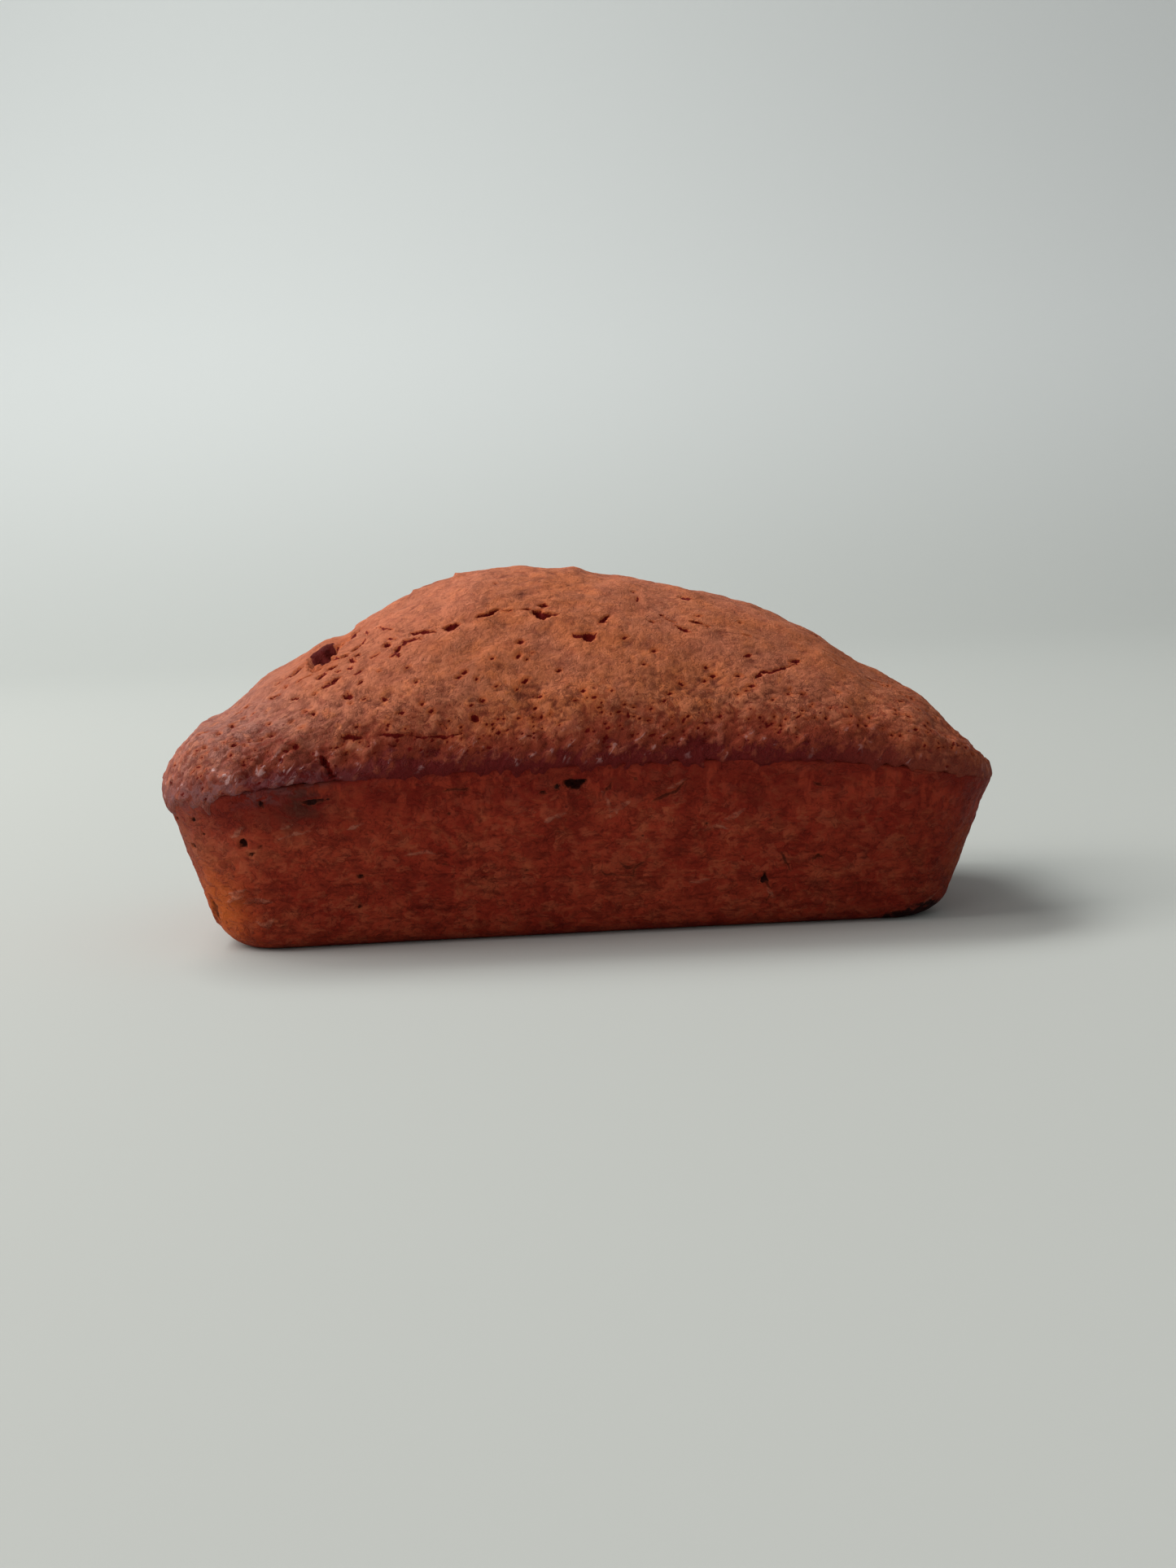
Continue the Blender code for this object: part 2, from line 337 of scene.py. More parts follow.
@dataclass(frozen=True)
class Hollow:
    """The torn hollow by the crest, with the shallow bed beside it that a flake of crust left.

    Args:
        place, reach, turn: Middle, half sizes and direction of the hollow.
        depth, lip: How deep it goes, and how far the crust behind it stands up.
        floor, wall: Where across it the floor sinks and the back wall climbs.
        bed_depth, bed_edge, bed_bend, bed_from: The bed's depth, its right edge, how that edge
            bends to the left in front of bed_bend, and where the bed fades on the left.
        bed_ends: Front and back of the bed.
    """

    place: Pair = (-73.0, -25.0)
    reach: Pair = (4.4, 9.0)
    turn: float = 0.12
    depth: float = 5.0
    lip: float = 0.3
    floor: Pair = (-1.05, -0.3)
    wall: Pair = (0.5, 0.85)
    bed_depth: float = 1.15
    bed_edge: float = -64.6
    bed_bend: float = -16
    bed_from: float = -73
    bed_ends: Pair = (-33, 32)

    def bed(self, points: Array, ragged: Array) -> Array:
        """Depth of the bed that a flake left: level, sharp on its right and faded on its left.

        Args:
            points: Places on the smooth shell.
            ragged: Noise that pushes the edges about.

        Returns:
            The depth at each place.
        """
        x, y = points[:, 0], points[:, 1]
        bend = 0.015 * np.clip(self.bed_bend - y, 0, 30) ** 2
        wander = 4 * noise(44, points, 11) * ease((y - 8) / 14)
        right = ease((self.bed_edge - bend + wander + 2.4 * ragged - x) / 0.8)
        ends = ease((y - self.bed_ends[0]) / 4) * ease((self.bed_ends[1] - y) / 7)
        return self.bed_depth * right * ease((x - self.bed_from) / 5) * ends

    def tear(self, points: Array) -> tuple[Array, Array, Array]:
        """Tear the crust open.

        In the hollow's own frame 1 is its edge. Along its long axis it is one minus the square of
        the distance. Across it the floor sinks slowly from the front and climbs again at once at
        the back, where the crust that stayed stands up as a lip. A noise pushes all of it about.

        Args:
            points: Places on the smooth shell.

        Returns:
            The depth at each place with the raised lip, how torn the crust is and how shaded the
            hollow's back wall, which the finish paints dark as painted shade.
        """
        long_way = np.array((math.cos(self.turn), math.sin(self.turn)))
        from_middle = points[:, :2] - self.place
        short_way = np.array((-long_way[1], long_way[0]))
        local = np.column_stack((from_middle @ long_way, from_middle @ short_way)) / self.reach
        ragged = 0.3 * noise(45, points, 5) + 0.24 * noise(46, points, 2.2, 2)
        along = np.clip(2 * (1.05 - (local[:, 0] * (1 + ragged)) ** 2), 0, 1)
        across = local[:, 1] + ragged
        sunk, climbed = (ease((across - low) / (high - low)) for low, high in (self.floor, self.wall))
        inside = along**0.7 * sunk * (1 - climbed)
        bed = self.bed(points, ragged)
        crags = 1.1 * noise(47, points, 2.4, 2) * np.clip(inside * 3, 0, 1)
        depth = np.maximum(self.depth * inside, bed) + crags
        depth -= self.lip * along * climbed * bell(across, 1.2, 1.0)
        shaded = along * ease((across + 0.95) / 0.4) * (1 - ease((across - 0.95) / 0.2))
        spread = np.linalg.norm(local, axis=1) * (1 + ragged)
        near_bed = bed / self.bed_depth * ease((-2 - points[:, 1]) / 20)
        return depth, np.maximum(np.clip(1.5 - spread, 0, 1) * (1 - climbed), near_bed), shaded


TOP_CRACKS: tuple[Crack, ...] = (
    *cracks(
        Side.TOP,
        # the row of openings along the crest
        (0.4, 0.7, 0.6, -46.5, -35.9, -43, -37.2, -39.6, -37.9),
        (0.75, 1.2, 0.4, -36.9, -37.5, -34.6, -37.8, -32.7, -37.5),
        (0.65, 1.1, 0.4, -27.6, -36.5, -24.9, -36, -21.5, -34.3),
        (0.3, 0.4, 0.6, -20.4, -34.9, -17.5, -34.4), (0.55, 0.8, 0.3, -15.2, -34.7, -12.6, -34.5),
        (1.15, 2, 0.3, -11.6, -35.4, -8.8, -37.1, -6.4, -37.1), (0.45, 0.7, 0.4, -8.2, -37.2, -5.2, -37),
        (0.7, 1.1, 0.2, -10, -33.3, -7.5, -33.7), (1, 1.6, 0.1, 1.8, -43.3, 3.5, -43.4, 5.2, -42.8),
        (0.3, 0.4, 0.4, -1, -42.9, 2.4, -43.2), (0.45, 1, 0.5, 6.2, -39.7, 8, -38.2, 9.8, -36.6),
        (0.35, 0.4, 0.8, -48.4, -38.1, -43.6, -38.9),
        (0.35, 0.4, 0.7, -52.3, -42.2, -50.9, -41, -49.3, -40),
        # cracks round the hollow
        (1.3, 2, 0.3, -81.6, -30.5, -80.1, -28.4, -78.6, -26.2),
        (0.35, 0.4, 0.6, -86.3, -30, -83.8, -29.9, -81.7, -29.4),
        (0.4, 0.5, 0.6, -79.1, -37.2, -77.4, -36.2, -75.5, -36.1),
        (0.9, 1.2, 0.2, -73.6, -39.3, -72.2, -39.5, -70.9, -39.8),
        (0.6, 0.9, 0.3, -70.8, -37.7, -68.1, -37.8), (0.4, 0.5, 0.4, -71.8, -44.3, -69.3, -43.9),
        (0.75, 1, 0.2, -69.6, -43.9, -68, -43.6, -66.2, -43.1),
        (0.6, 0.7, 0.4, -73.6, -34.9, -71.8, -34.7),
        (0.35, 0.5, 0.6, -70.9, -32.9, -68, -34.5, -66.2, -35.2), (0.7, 1, 0.1, -66.3, -35.2, -64.9, -35),
        (0.45, 0.8, 0.4, -63.3, -33.9, -61.7, -32.8, -59.9, -30.5),
        (0.5, 0.7, 0.2, -62.6, -36.6, -61.4, -36.9),
        (0.5, 0.7, 0.3, -64.1, -36.9, -63.4, -38.2, -62.7, -39.1),
        (0.5, 0.6, 0.3, -67.7, -40.3, -66.7, -40), (0.45, 0.6, 0.3, -64.9, -40.1, -63.4, -41),
        (0.45, 0.6, 0.3, -63, -43.8, -61.8, -43.5, -60.7, -43),
        (0.65, 0.9, 0.2, -51.2, -40.5, -50.4, -40.2, -49.3, -39.6),
        (0.3, 0.4, 0.5, -49.5, -39.7, -47.6, -38.7), (0.3, 0.4, 0.6, -58.1, -39.9, -55.7, -39.5),
        (0.3, 0.4, 0.6, -57.2, -25.7, -54.7, -29.5, -52, -32),
        (0.35, 0.4, 0.5, -53.2, -35.4, -51.3, -36.3), (0.45, 0.6, 0.2, -50.6, -42.1, -49.9, -42.4),
        (0.5, 0.7, 0.3, -86.3, -37, -84.6, -37.8), (0.55, 0.8, 0.2, -80.7, -43.5, -78.6, -44.6),
        (0.55, 0.8, 0.3, -65.5, -49.1, -63, -50.2), (0.5, 0.7, 0.2, -55.1, -52.4, -53.6, -52.8),
        (0.35, 0.4, 0.6, -60.3, -23.2, -59.4, -28), (0.45, 0.6, 0.2, -61.3, -47.5, -60.3, -47.2),
        (1.2, 1.8, 0.3, -65, -25, -64.6, -20.5, -63.7, -17.8, -61.4, -17.2),
        (0.45, 0.6, 0.3, -66, -20.2, -64.3, -17.6), (0.4, 0.5, 0.4, -62.2, -16.2, -60, -16.4),
        (1.5, 2, 0.3, -69.8, -25, -68.9, -20.6, -66.6, -20.2),
        # the lower slope on the right
        (0.4, 0.7, 0.5, 24.9, -33.9, 26.8, -35.1, 28.9, -36.2),
        (0.45, 0.8, 0.4, 28.6, -37.7, 30.6, -38.7, 32.3, -38.9), (0.45, 0.7, 0.3, 33, -35.1, 36.3, -35.2),
        (0.6, 0.8, 0.3, 30.8, -20.2, 35.3, -20.1), (0.5, 0.7, 0.1, 21.6, -36.9, 22.6, -36.8),
        (0.4, 0.6, 0.3, 18.5, -29.3, 18.9, -27.3), (0.5, 0.6, 0.3, 47.4, -44.4, 49.2, -43.8),
        (0.65, 0.9, 0.2, 49.2, -50.3, 51, -49.3), (0.45, 0.8, 0.4, 50.7, -48.7, 54.4, -48.4),
        (0.3, 0.5, 0.5, 54.2, -48.4, 58.1, -46, 62, -43.8), (0.5, 0.8, 0.3, 60, -43.7, 62.9, -42.1),
        (0.4, 0.6, 0.6, 69.2, -20.9, 73.3, -16.4), (0.4, 0.6, 0.6, 84, -34.4, 90, -32),
        # the slope that faces away
        (0.6, 1.4, 0.8, -38, 21, -33, 24, -25, 23, -19, 27), (0.8, 1.6, 0.6, -14, 27, -6, 24.5, -1, 27),
        (0.45, 1, 0.7, 5, 24, 12, 27, 14, 31), (0.6, 1.3, 0.8, 22, 27, 27, 31, 36, 30, 40, 33),
        (0.5, 1, 0.4, 48, 22, 53, 25), (0.65, 1.3, 0.7, -70, 30, -62, 34, -55, 33),
    ),
    *cracks(
        Side.FRONT,
        # low on the crown
        (0.35, 0.8, 0.4, -48.1, 60.8, -44, 60.5, -38, 60.4, -34, 60.6),
        (0.5, 0.9, 0.4, -55.6, 61.4, -52, 61, -49, 61),
        (0.5, 0.9, 0.5, -65.8, 61.5, -63, 61.3, -60.5, 60.9),
        (0.6, 1.2, 0.2, 32.6, 50.1, 35.1, 49.7, 37.3, 49.4),
        (1.1, 2.2, 0.3, -71.9, 56.4, -69.7, 53.1, -68.8, 50.4), (0.6, 1, 0.1, 10.2, 51, 10.9, 49.8),
    ),
    *cracks(
        Side.BACK,
        (0.5, 1.2, 0.7, -20, 58, -8, 59.5, 3, 58.5), (0.55, 1.1, 0.4, 46, 57, 54, 56),
    ),
)

# Single burst bubbles on the crown's front: place along the loaf, height and radius, in millimetres
BUBBLES: tuple[tuple[float, float, float], ...] = (
    (-16.1, 84.7, 1.0), (-16.6, 80.8, 0.85), (-14.5, 79.8, 0.7), (-24.0, 80.0, 0.7),
    (-32.1, 77.1, 0.9), (-28.7, 75.0, 0.75), (-45.6, 74.5, 0.8), (-27.3, 69.8, 0.85),
    (-29.7, 64.6, 1.25), (-41.2, 67.1, 0.85), (-43.9, 68.9, 0.75), (-49.4, 67.0, 0.85),
    (0.9, 70.5, 0.9), (-11.3, 70.0, 0.75), (-12.5, 66.7, 0.8), (-23.0, 60.3, 0.85),
    (10.7, 64.9, 0.8), (16.0, 62.6, 0.7), (18.1, 77.0, 0.75), (21.4, 80.2, 0.7),
    (28.2, 71.9, 0.65), (35.7, 75.6, 0.75), (37.4, 73.0, 1.1), (44.6, 72.6, 0.8),
    (18.9, 65.2, 0.65), (-97.6, 64.6, 0.85), (-101.3, 62.6, 0.85), (-95.9, 60.2, 0.95),
    (-85.7, 62.6, 0.9), (-93.3, 55.4, 0.75), (-78.8, 59.1, 1.1), (-81.1, 58.0, 0.7),
    (-76.4, 68.3, 0.8), (-74.1, 67.4, 0.8), (-80.4, 65.7, 0.7), (-62.1, 63.6, 0.7),
    (-53.5, 63.9, 0.7), (-105.7, 56.7, 0.7), (-111.6, 46.9, 0.7), (-105.2, 48.1, 0.75),
    (-82.5, 55.6, 0.8), (-104.7, 45.3, 0.7), (-53.4, 84.7, 1.15), (-82.9, 74.1, 0.75),
    (-55.6, 78.0, 0.65), (-73.8, 72.6, 0.6),
)

SIDE_CRACKS: tuple[Crack, ...] = (
    *cracks(
        Side.FRONT,
        (1.35, 3, 0.05, -5.4, 45.8, -2.8, 45.1, 0, 45.9), (0.7, 1.4, 0.1, -8.3, 45, -7.3, 44),
        (0.6, 1, 0.2, -12.4, 43.3, -10.6, 43.3), (0.4, 0.8, 0.3, -38.8, 45.1, -35.7, 45.4, -32, 45.1),
        (0.28, 0.5, 0.3, 4.3, 22.8, 4.2, 18.8, 8.6, 18.1, 13.3, 17.4),
        (0.32, 0.5, 0.3, 15.2, 21.7, 13.1, 19.6, 12.9, 17.6), (0.3, 0.5, 0.2, 11.6, 20.2, 13.1, 19),
        (0.35, 0.7, 0.5, 18.6, 39.3, 21.9, 40.8, 24.9, 42, 27.3, 44.5),
        (0.35, 0.6, 0.4, 4.8, 42.1, 6.2, 43.8, 7.3, 44.9),
        (1, 1.6, 0.1, -95.7, 31.9, -94.9, 33.2, -94, 32), (0.65, 1.1, 0.1, -93.4, 29.3, -92.4, 29.7),
        (0.8, 1.2, 0.1, -110.8, 31.6, -109.6, 30.8), (0.65, 1, 0.1, -109.5, 39.6, -108.5, 39.2),
        (0.6, 0.9, 0.1, -114.9, 39.2, -114.3, 38.7), (0.6, 1, 0.2, -89.4, 44.1, -88.5, 42.9),
        (0.75, 0.8, 0.5, -77.4, 43.6, -74.5, 43.7, -71.8, 43.9), (0.6, 1, 0.2, -64.2, 22.1, -62.9, 21.2),
        (0.45, 0.8, 0.2, -40.1, 24.1, -39.3, 23.7), (0.4, 0.6, 0.2, -38.2, 38.6, -37.6, 38.4),
        (0.55, 0.9, 0.2, 63.6, 42.4, 65.3, 41.6), (0.5, 0.9, 0.2, 13.7, 46.5, 14.5, 45.9),
        (0.4, 0.9, 0.5, 54.7, 22.2, 55.7, 20, 57.4, 17.3),
        (0.6, 1.2, 0.5, 49.8, 17.2, 50.1, 14.5, 51.4, 12.3), (0.35, 0.6, 0.4, 51.9, 10.5, 50.1, 8.2),
        (0.4, 0.7, 0.4, 63.6, 19.5, 65, 21.4, 66.5, 20.3),
        (0.25, 0.4, 0.5, 9.1, 21.8, 11.4, 19.8, 12.9, 21.4),
        (0.5, 0.5, 0.2, -106.9, 15.5, -106.2, 12.4, -105.2, 8.2),
    ),
    *cracks(
        Side.BACK,
        (1.1, 2.2, 0.3, -30, 44.5, -26, 44.8), (0.35, 0.6, 0.5, 26, 21, 27, 17.4, 33, 16.2),
        (0.9, 1.4, 0.2, 61, 40, 62, 39.2),
    ),
    *cracks(
        Side.LEFT,
        (0.9, 1.4, 0.2, -12, 33, -10.6, 32), (0.35, 0.6, 0.5, 16, 26, 17, 22, 22, 21),
    ),
    *cracks(
        Side.RIGHT,
        (0.9, 1.4, 0.2, -20, 30, -18.6, 29.4), (0.35, 0.6, 0.5, 10, 25, 14, 23.6, 19, 24.4),
    ),
)

# Folds of the side's skin, drawn as paths like the cracks; the finish paints them pale as painted glints
SIDE_FOLDS: tuple[Crack, ...] = (
    *cracks(
        Side.FRONT,
        (0.42, 0.2, 0.5, -98.2, 34.7, -96.3, 35.9, -94.3, 37.6),
        (0.42, 0.2, 0.5, -84.8, 33.7, -80.9, 34.8, -76.4, 35.4),
        (0.4, 0.2, 0.4, -65.8, 35.6, -63.6, 36.3, -61.7, 36.8),
        (0.5, 0.3, 0.4, -100.2, 17.7, -97.7, 18.9, -95.6, 19.3),
        (0.5, 0.3, 0.4, -101.8, 15.2, -98.5, 16.8, -96.3, 17.6),
        (0.5, 0.3, 0.5, -96.2, 14.9, -92.7, 16.2, -89, 15.4),
        (0.5, 0.3, 0.6, -93.5, 9.2, -91, 8.2, -88.8, 10.1), (0.6, 0.2, 0.4, -84, 36.7, -81.1, 37.7),
        (0.5, 0.2, 0.6, -11.3, 35, -8.6, 36.5, -5.5, 37),
        (0.45, 0.2, 0.5, 4.7, 42.7, 6.4, 38.7, 6.7, 35.3), (0.8, 0.2, 0.6, 6.8, 36.6, 9.3, 38, 12, 39.7),
        (0.45, 0.2, 0.3, 23.2, 42.9, 25.3, 44.1, 27.6, 45.2),
        (0.6, 0.3, 0.3, 38.8, 33.1, 41.3, 34.4, 43.9, 35.8),
        (0.35, 0.2, 0.4, 32.9, 30.4, 36.1, 31.6, 39.4, 30.5), (0.45, 0.3, 0.3, 50.9, 12, 52.4, 9.2),
        (0.35, 0.2, 0.5, 95.6, 4.4, 100, 7.3), (0.35, 0.2, 0.6, -50.5, 27.1, -45.7, 27.7, -42.5, 27.1),
        (0.35, 0.2, 0.6, 28.8, 14.8, 34.1, 15.9),
    ),
)


def drawn_folds(side: Side, half_length: float, count: int, seed: int) -> tuple[Crack, ...]:
    """Short folds for a side that has none of its own.

    Args:
        side: The side.
        half_length: Half of that side's length.
        count: How many folds there are.
        seed: The draw.

    Returns:
        The folds, nearly level and bent a little.
    """
    draw = np.random.default_rng(seed)
    folds = []
    for _ in range(count):
        across, up = draw.uniform(-0.8, 0.8) * half_length, draw.uniform(8, 41)
        length, slope, bend = draw.uniform(2, 4.5), draw.normal(0, 0.35), draw.normal(0, 0.6)
        rise = slope * length
        path = ((across - length, up - rise), (across, up + bend), (across + length, up + rise))
        folds.append(Crack(side, path, draw.uniform(0.35, 0.5), 0.2, 0.5))
    return tuple(folds)


class Openings:
    """What the openings of a shell come to at each of its points.

    It holds the depth that the surface is pushed in, the distance to the nearest crack's path with
    a sign for its two sides (beside) and without (near), half that crack's width, and how far
    inside the nearest pit a place is, which is less than 0 outside. Cracks beyond far don't count.
    Noise shifts the paths of cracks by wander_by, pushes the outlines of pits about by push_by and
    makes the width of cracks ragged; each of the three has its own cell.
    """

    far: float = 3.0
    wander_by: float = 0.45
    wander_cell: float = 3
    ragged_cell: float = 2.4
    push_by: float = 0.35
    push_cell: float = 1.7

    def __init__(self, points: Array, normals: Array) -> None:
        """Start without openings.

        Args:
            points: Places on the smooth shell.
            normals: Outward directions there.
        """
        self.points, self.normals = points, normals
        self.depth, self.width = np.zeros(len(points)), np.zeros(len(points))
        self.beside, self.near = np.full(len(points), self.far), np.full(len(points), self.far)
        self.pit = -self.near

    def add_cracks(self, listed: tuple[Crack, ...], seed: int) -> None:
        """Open cracks: wedges that are deepest on the path, as wide as a ragged noise leaves them.

        Args:
            listed: The cracks.
            seed: Draw for the way that their paths wander.
        """
        wander = self.wander_by * np.column_stack([
            noise(seed + axis, self.points, self.wander_cell, 3, 0.6) for axis in range(2)
        ])
        ragged = noise(seed + 5, self.points, self.ragged_cell, 2)
        for crack in listed:
            first, second, axis, sign, least = crack.side.value
            facing = sign * self.normals[:, axis] > least
            nearest, signed, taper = crack.beside(self.points[:, (first, second)], wander)
            width = crack.half_width * taper * np.clip(1 + crack.break_up * 2.2 * ragged, 0.0, 2)
            closer = facing & (nearest - width < self.near - self.width) & (nearest < self.far)
            self.near = np.where(closer, nearest, self.near)
            self.beside = np.where(closer, signed, self.beside)
            self.width = np.where(closer, width, self.width)
            wedge = crack.depth * np.clip(1.7 * (1.12 - nearest / np.maximum(width, 1e-3)), 0, 1)
            self.depth = np.maximum(self.depth, np.where(facing, wedge, 0))

    def add_pits(self, chosen: Array, sizes: Array, depth: float, stretch: float, seed: int) -> None:
        """Burst the chosen bubbles: bowls drawn out level with the ground or nearly so.

        Args:
            chosen: Numbers of the points that pits are centred on.
            sizes: The radius of each pit.
            depth: Depth of a pit against its radius.
            stretch: How much longer than wide a pit may be.
            seed: The draw for their shapes.
        """
        draw = np.random.default_rng(seed)
        pulls = 1 + (stretch - 1) * draw.random(len(chosen))
        turns = draw.normal(0, 0.4, len(chosen))
        pushed = self.points + self.push_by * np.column_stack([
            noise(seed + axis, self.points, self.push_cell) for axis in range(3)
        ])
        for station, size, pull, turn in zip(chosen, sizes, pulls, turns):
            gap, normal = pushed - self.points[station], self.normals[station]
            close = np.flatnonzero(np.abs(gap).max(axis=1) < size * pull + 1.5)
            across = np.cross(normal, (0.0, 0.0, 1.0))
            if np.linalg.norm(across) < 0.2:
                across = np.array((1.0, 0.0, 0.0))
            across /= np.linalg.norm(across)
            long_way = across * math.cos(turn) + np.cross(across, normal) * math.sin(turn)
            near = gap[close]
            spread = np.hypot(near @ long_way / pull, near @ np.cross(normal, long_way))
            bowl = size * depth * np.clip(1.15 - (spread / size) ** 2, 0, 1)
            self.depth[close] = np.maximum(self.depth[close], bowl)
            self.pit[close] = np.maximum(self.pit[close], size - 0.12 - spread)

    def marks(self, name: str = "crack") -> dict[str, Array]:
        """Point marks, which the finish turns into edges finer than the mesh."""
        return {
            f"{name}_side": np.clip(self.beside, -self.far, self.far),
            f"{name}_near": np.clip(self.near, 0, self.far),
            f"{name}_width": self.width,
            f"{name}_pit": np.clip(self.pit, -1.5, 1.5),
        }


def band_strength(x: Array, left_end: float) -> Array:
    """How dark the band along the rim is: full in the middle, weaker at the right and past left_end."""
    return 1 - 0.7 * ease((left_end - x) / 14) - 0.5 * ease((x - 55) / 50)


def scatter(density: Array, count: int, radius: Pair, seed: int) -> tuple[Array, Array]:
    """Draw places and sizes for scattered pits, small ones more often than large.

    Args:
        density: How likely a pit is at each point.
        count: How many pits there are.
        radius: Smallest and largest radius.
        seed: The draw.

    Returns:
        The numbers of the points that pits are centred on, and the radius of each.
    """
    draw = np.random.default_rng(seed)
    chosen = draw.choice(len(density), count, replace=False, p=density / density.sum())
    return chosen, radius[0] + (radius[1] - radius[0]) * draw.random(count) ** 2.2


# ---------------------------------------------------------------------------------------------
# Meshes
# ---------------------------------------------------------------------------------------------


def link(name: str, data: bpy.types.ID) -> bpy.types.Object:
    """Put an object into the scene, at the origin.

    Args:
        name: The object's name.
        data: Its mesh, lamp or camera.

    Returns:
        The object.
    """
    made = bpy.data.objects.new(name, data)
    bpy.context.scene.collection.objects.link(made)
    return made


@dataclass
class Shell:
    """A surface as arrays: points, four-sided faces, polygons that cap it and marks for its finish."""

    points: Array
    quads: Array
    caps: list[Array]
    marks: dict[str, Array] = field(default_factory=dict)

    def to_mesh(self, name: str) -> bpy.types.Mesh:
        """Put the arrays into a mesh in metres, smooth shaded.

        Args:
            name: The mesh's name.

        Returns:
            The mesh, with each mark as a point attribute.
        """
        sizes = np.concatenate((np.full(len(self.quads), 4), [len(cap) for cap in self.caps]))
        corners = np.concatenate([self.quads.ravel(), *self.caps]).astype(np.int32)
        mesh = bpy.data.meshes.new(name)
        mesh.vertices.add(len(self.points))
        mesh.vertices.foreach_set("co", (self.points * MM).astype(np.float32).ravel())
        mesh.loops.add(len(corners))
        mesh.loops.foreach_set("vertex_index", corners)
        mesh.polygons.add(len(sizes))
        mesh.polygons.foreach_set("loop_start", (np.cumsum(sizes) - sizes).astype(np.int32))
        mesh.update(calc_edges=True)
        mesh.validate()
        mesh.shade_smooth()
        for mark, values in self.marks.items():
            attribute = mesh.attributes.new(mark, "FLOAT", "POINT")
            attribute.data.foreach_set("value", values.astype(np.float32))
        return mesh

    def normals(self) -> Array:
        """Outward direction at each point, from a throwaway mesh."""
        mesh = self.to_mesh("normals")
        found = np.zeros(len(self.points) * 3)
        mesh.vertices.foreach_get("normal", found)
        bpy.data.meshes.remove(mesh)
        return found.reshape(-1, 3)

    def dress(self, name: str, material: bpy.types.Material) -> None:
        """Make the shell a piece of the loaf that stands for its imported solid.

        Args:
            name: The piece's name.
            material: Its finish.
        """
        mesh = self.to_mesh(name)
        mesh.materials.append(material)
        piece = link(name, mesh)
        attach(piece, "root")
        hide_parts("loaf")
        LOG.info("%s: %d points, %d faces", name, len(mesh.vertices), len(mesh.polygons))


def ring_faces(rows: int, ring_size: int) -> Array:
    """Faces between successive closed rings of points, facing out where the rings climb.

    Args:
        rows: How many rings there are.
        ring_size: Points in a ring.

    Returns:
        The faces, four point numbers each.
    """
    ring = np.arange(ring_size)
    after = (ring + 1) % ring_size
    low = (np.arange(rows - 1) * ring_size)[:, None]
    high = low + ring_size
    return np.stack((low + ring, low + after, high + after, high + ring), axis=-1).reshape(-1, 4)


def floor_faces(walk: RimWalk, first: int) -> tuple[Array, list[Array]]:
    """Close a ring from below with rungs from front to back and a cap at either end.

    Args:
        walk: The stations.
        first: Number of the ring's first point.

    Returns:
        The four-sided rungs and the two end caps, all facing down.
    """
    front = np.arange(walk.long_stations + 1)
    back = (2 * walk.long_stations + walk.short_stations - front) % walk.size
    rungs = np.column_stack((front[:-1], back[:-1], back[1:], front[1:]))
    end = np.arange(walk.short_stations + 1)
    right_end = walk.long_stations + end
    left_end = (walk.size - walk.short_stations + end) % walk.size
    return rungs + first, [right_end[::-1] + first, left_end[::-1] + first]


def fill_ring(edge: Array, walk: RimWalk) -> Array:
    """Fill a ring with a grid in plan, each side ruled to the one opposite.

    Point (u, v) is the ruled surface between front and back, plus the one between left and right,
    less the surface ruled between the four corners.

    Args:
        edge: The ring's points, in plan.
        walk: The stations.

    Returns:
        The grid: column 0 is the left end and row 0 the front.
    """
    closed = np.concatenate((edge, edge[:1]))
    ends = np.cumsum((0, *(walk.long_stations, walk.short_stations) * 2))
    front, right, back, left = (closed[start:end + 1] for start, end in zip(ends, ends[1:]))
    back, left = back[::-1], left[::-1]
    u = np.linspace(0, 1, walk.long_stations + 1)[:, None, None]
    v = np.linspace(0, 1, walk.short_stations + 1)[None, :, None]
    ruled = (1 - v) * front[:, None] + v * back[:, None] + (1 - u) * left[None] + u * right[None]
    corners = (1 - v) * ((1 - u) * front[0] + u * front[-1]) + v * ((1 - u) * back[0] + u * back[-1])
    return ruled - corners


def grid_faces(walk: RimWalk, last_ring: int) -> Array:
    """Faces of a grid whose border is the last ring and whose inner points follow it.

    Args:
        walk: The stations.
        last_ring: Number of the last ring's first point.

    Returns:
        The faces, four point numbers each, facing up.
    """
    columns, lines = walk.long_stations + 1, walk.short_stations + 1
    number = np.zeros((columns, lines), dtype=int)
    number[:, 0] = np.arange(columns)
    number[-1, :] = walk.long_stations + np.arange(lines)
    number[:, -1] = walk.long_stations + walk.short_stations + np.arange(columns)[::-1]
    number[0, 1:] = walk.size - np.arange(1, lines)
    number[1:-1, 1:-1] = walk.size + np.arange((columns - 2) * (lines - 2)).reshape(columns - 2, -1)
    around = (number[:-1, :-1], number[1:, :-1], number[1:, 1:], number[:-1, 1:])
    return np.stack(around, axis=-1).reshape(-1, 4) + last_ring


# ---------------------------------------------------------------------------------------------
# The two shells of the loaf
# ---------------------------------------------------------------------------------------------


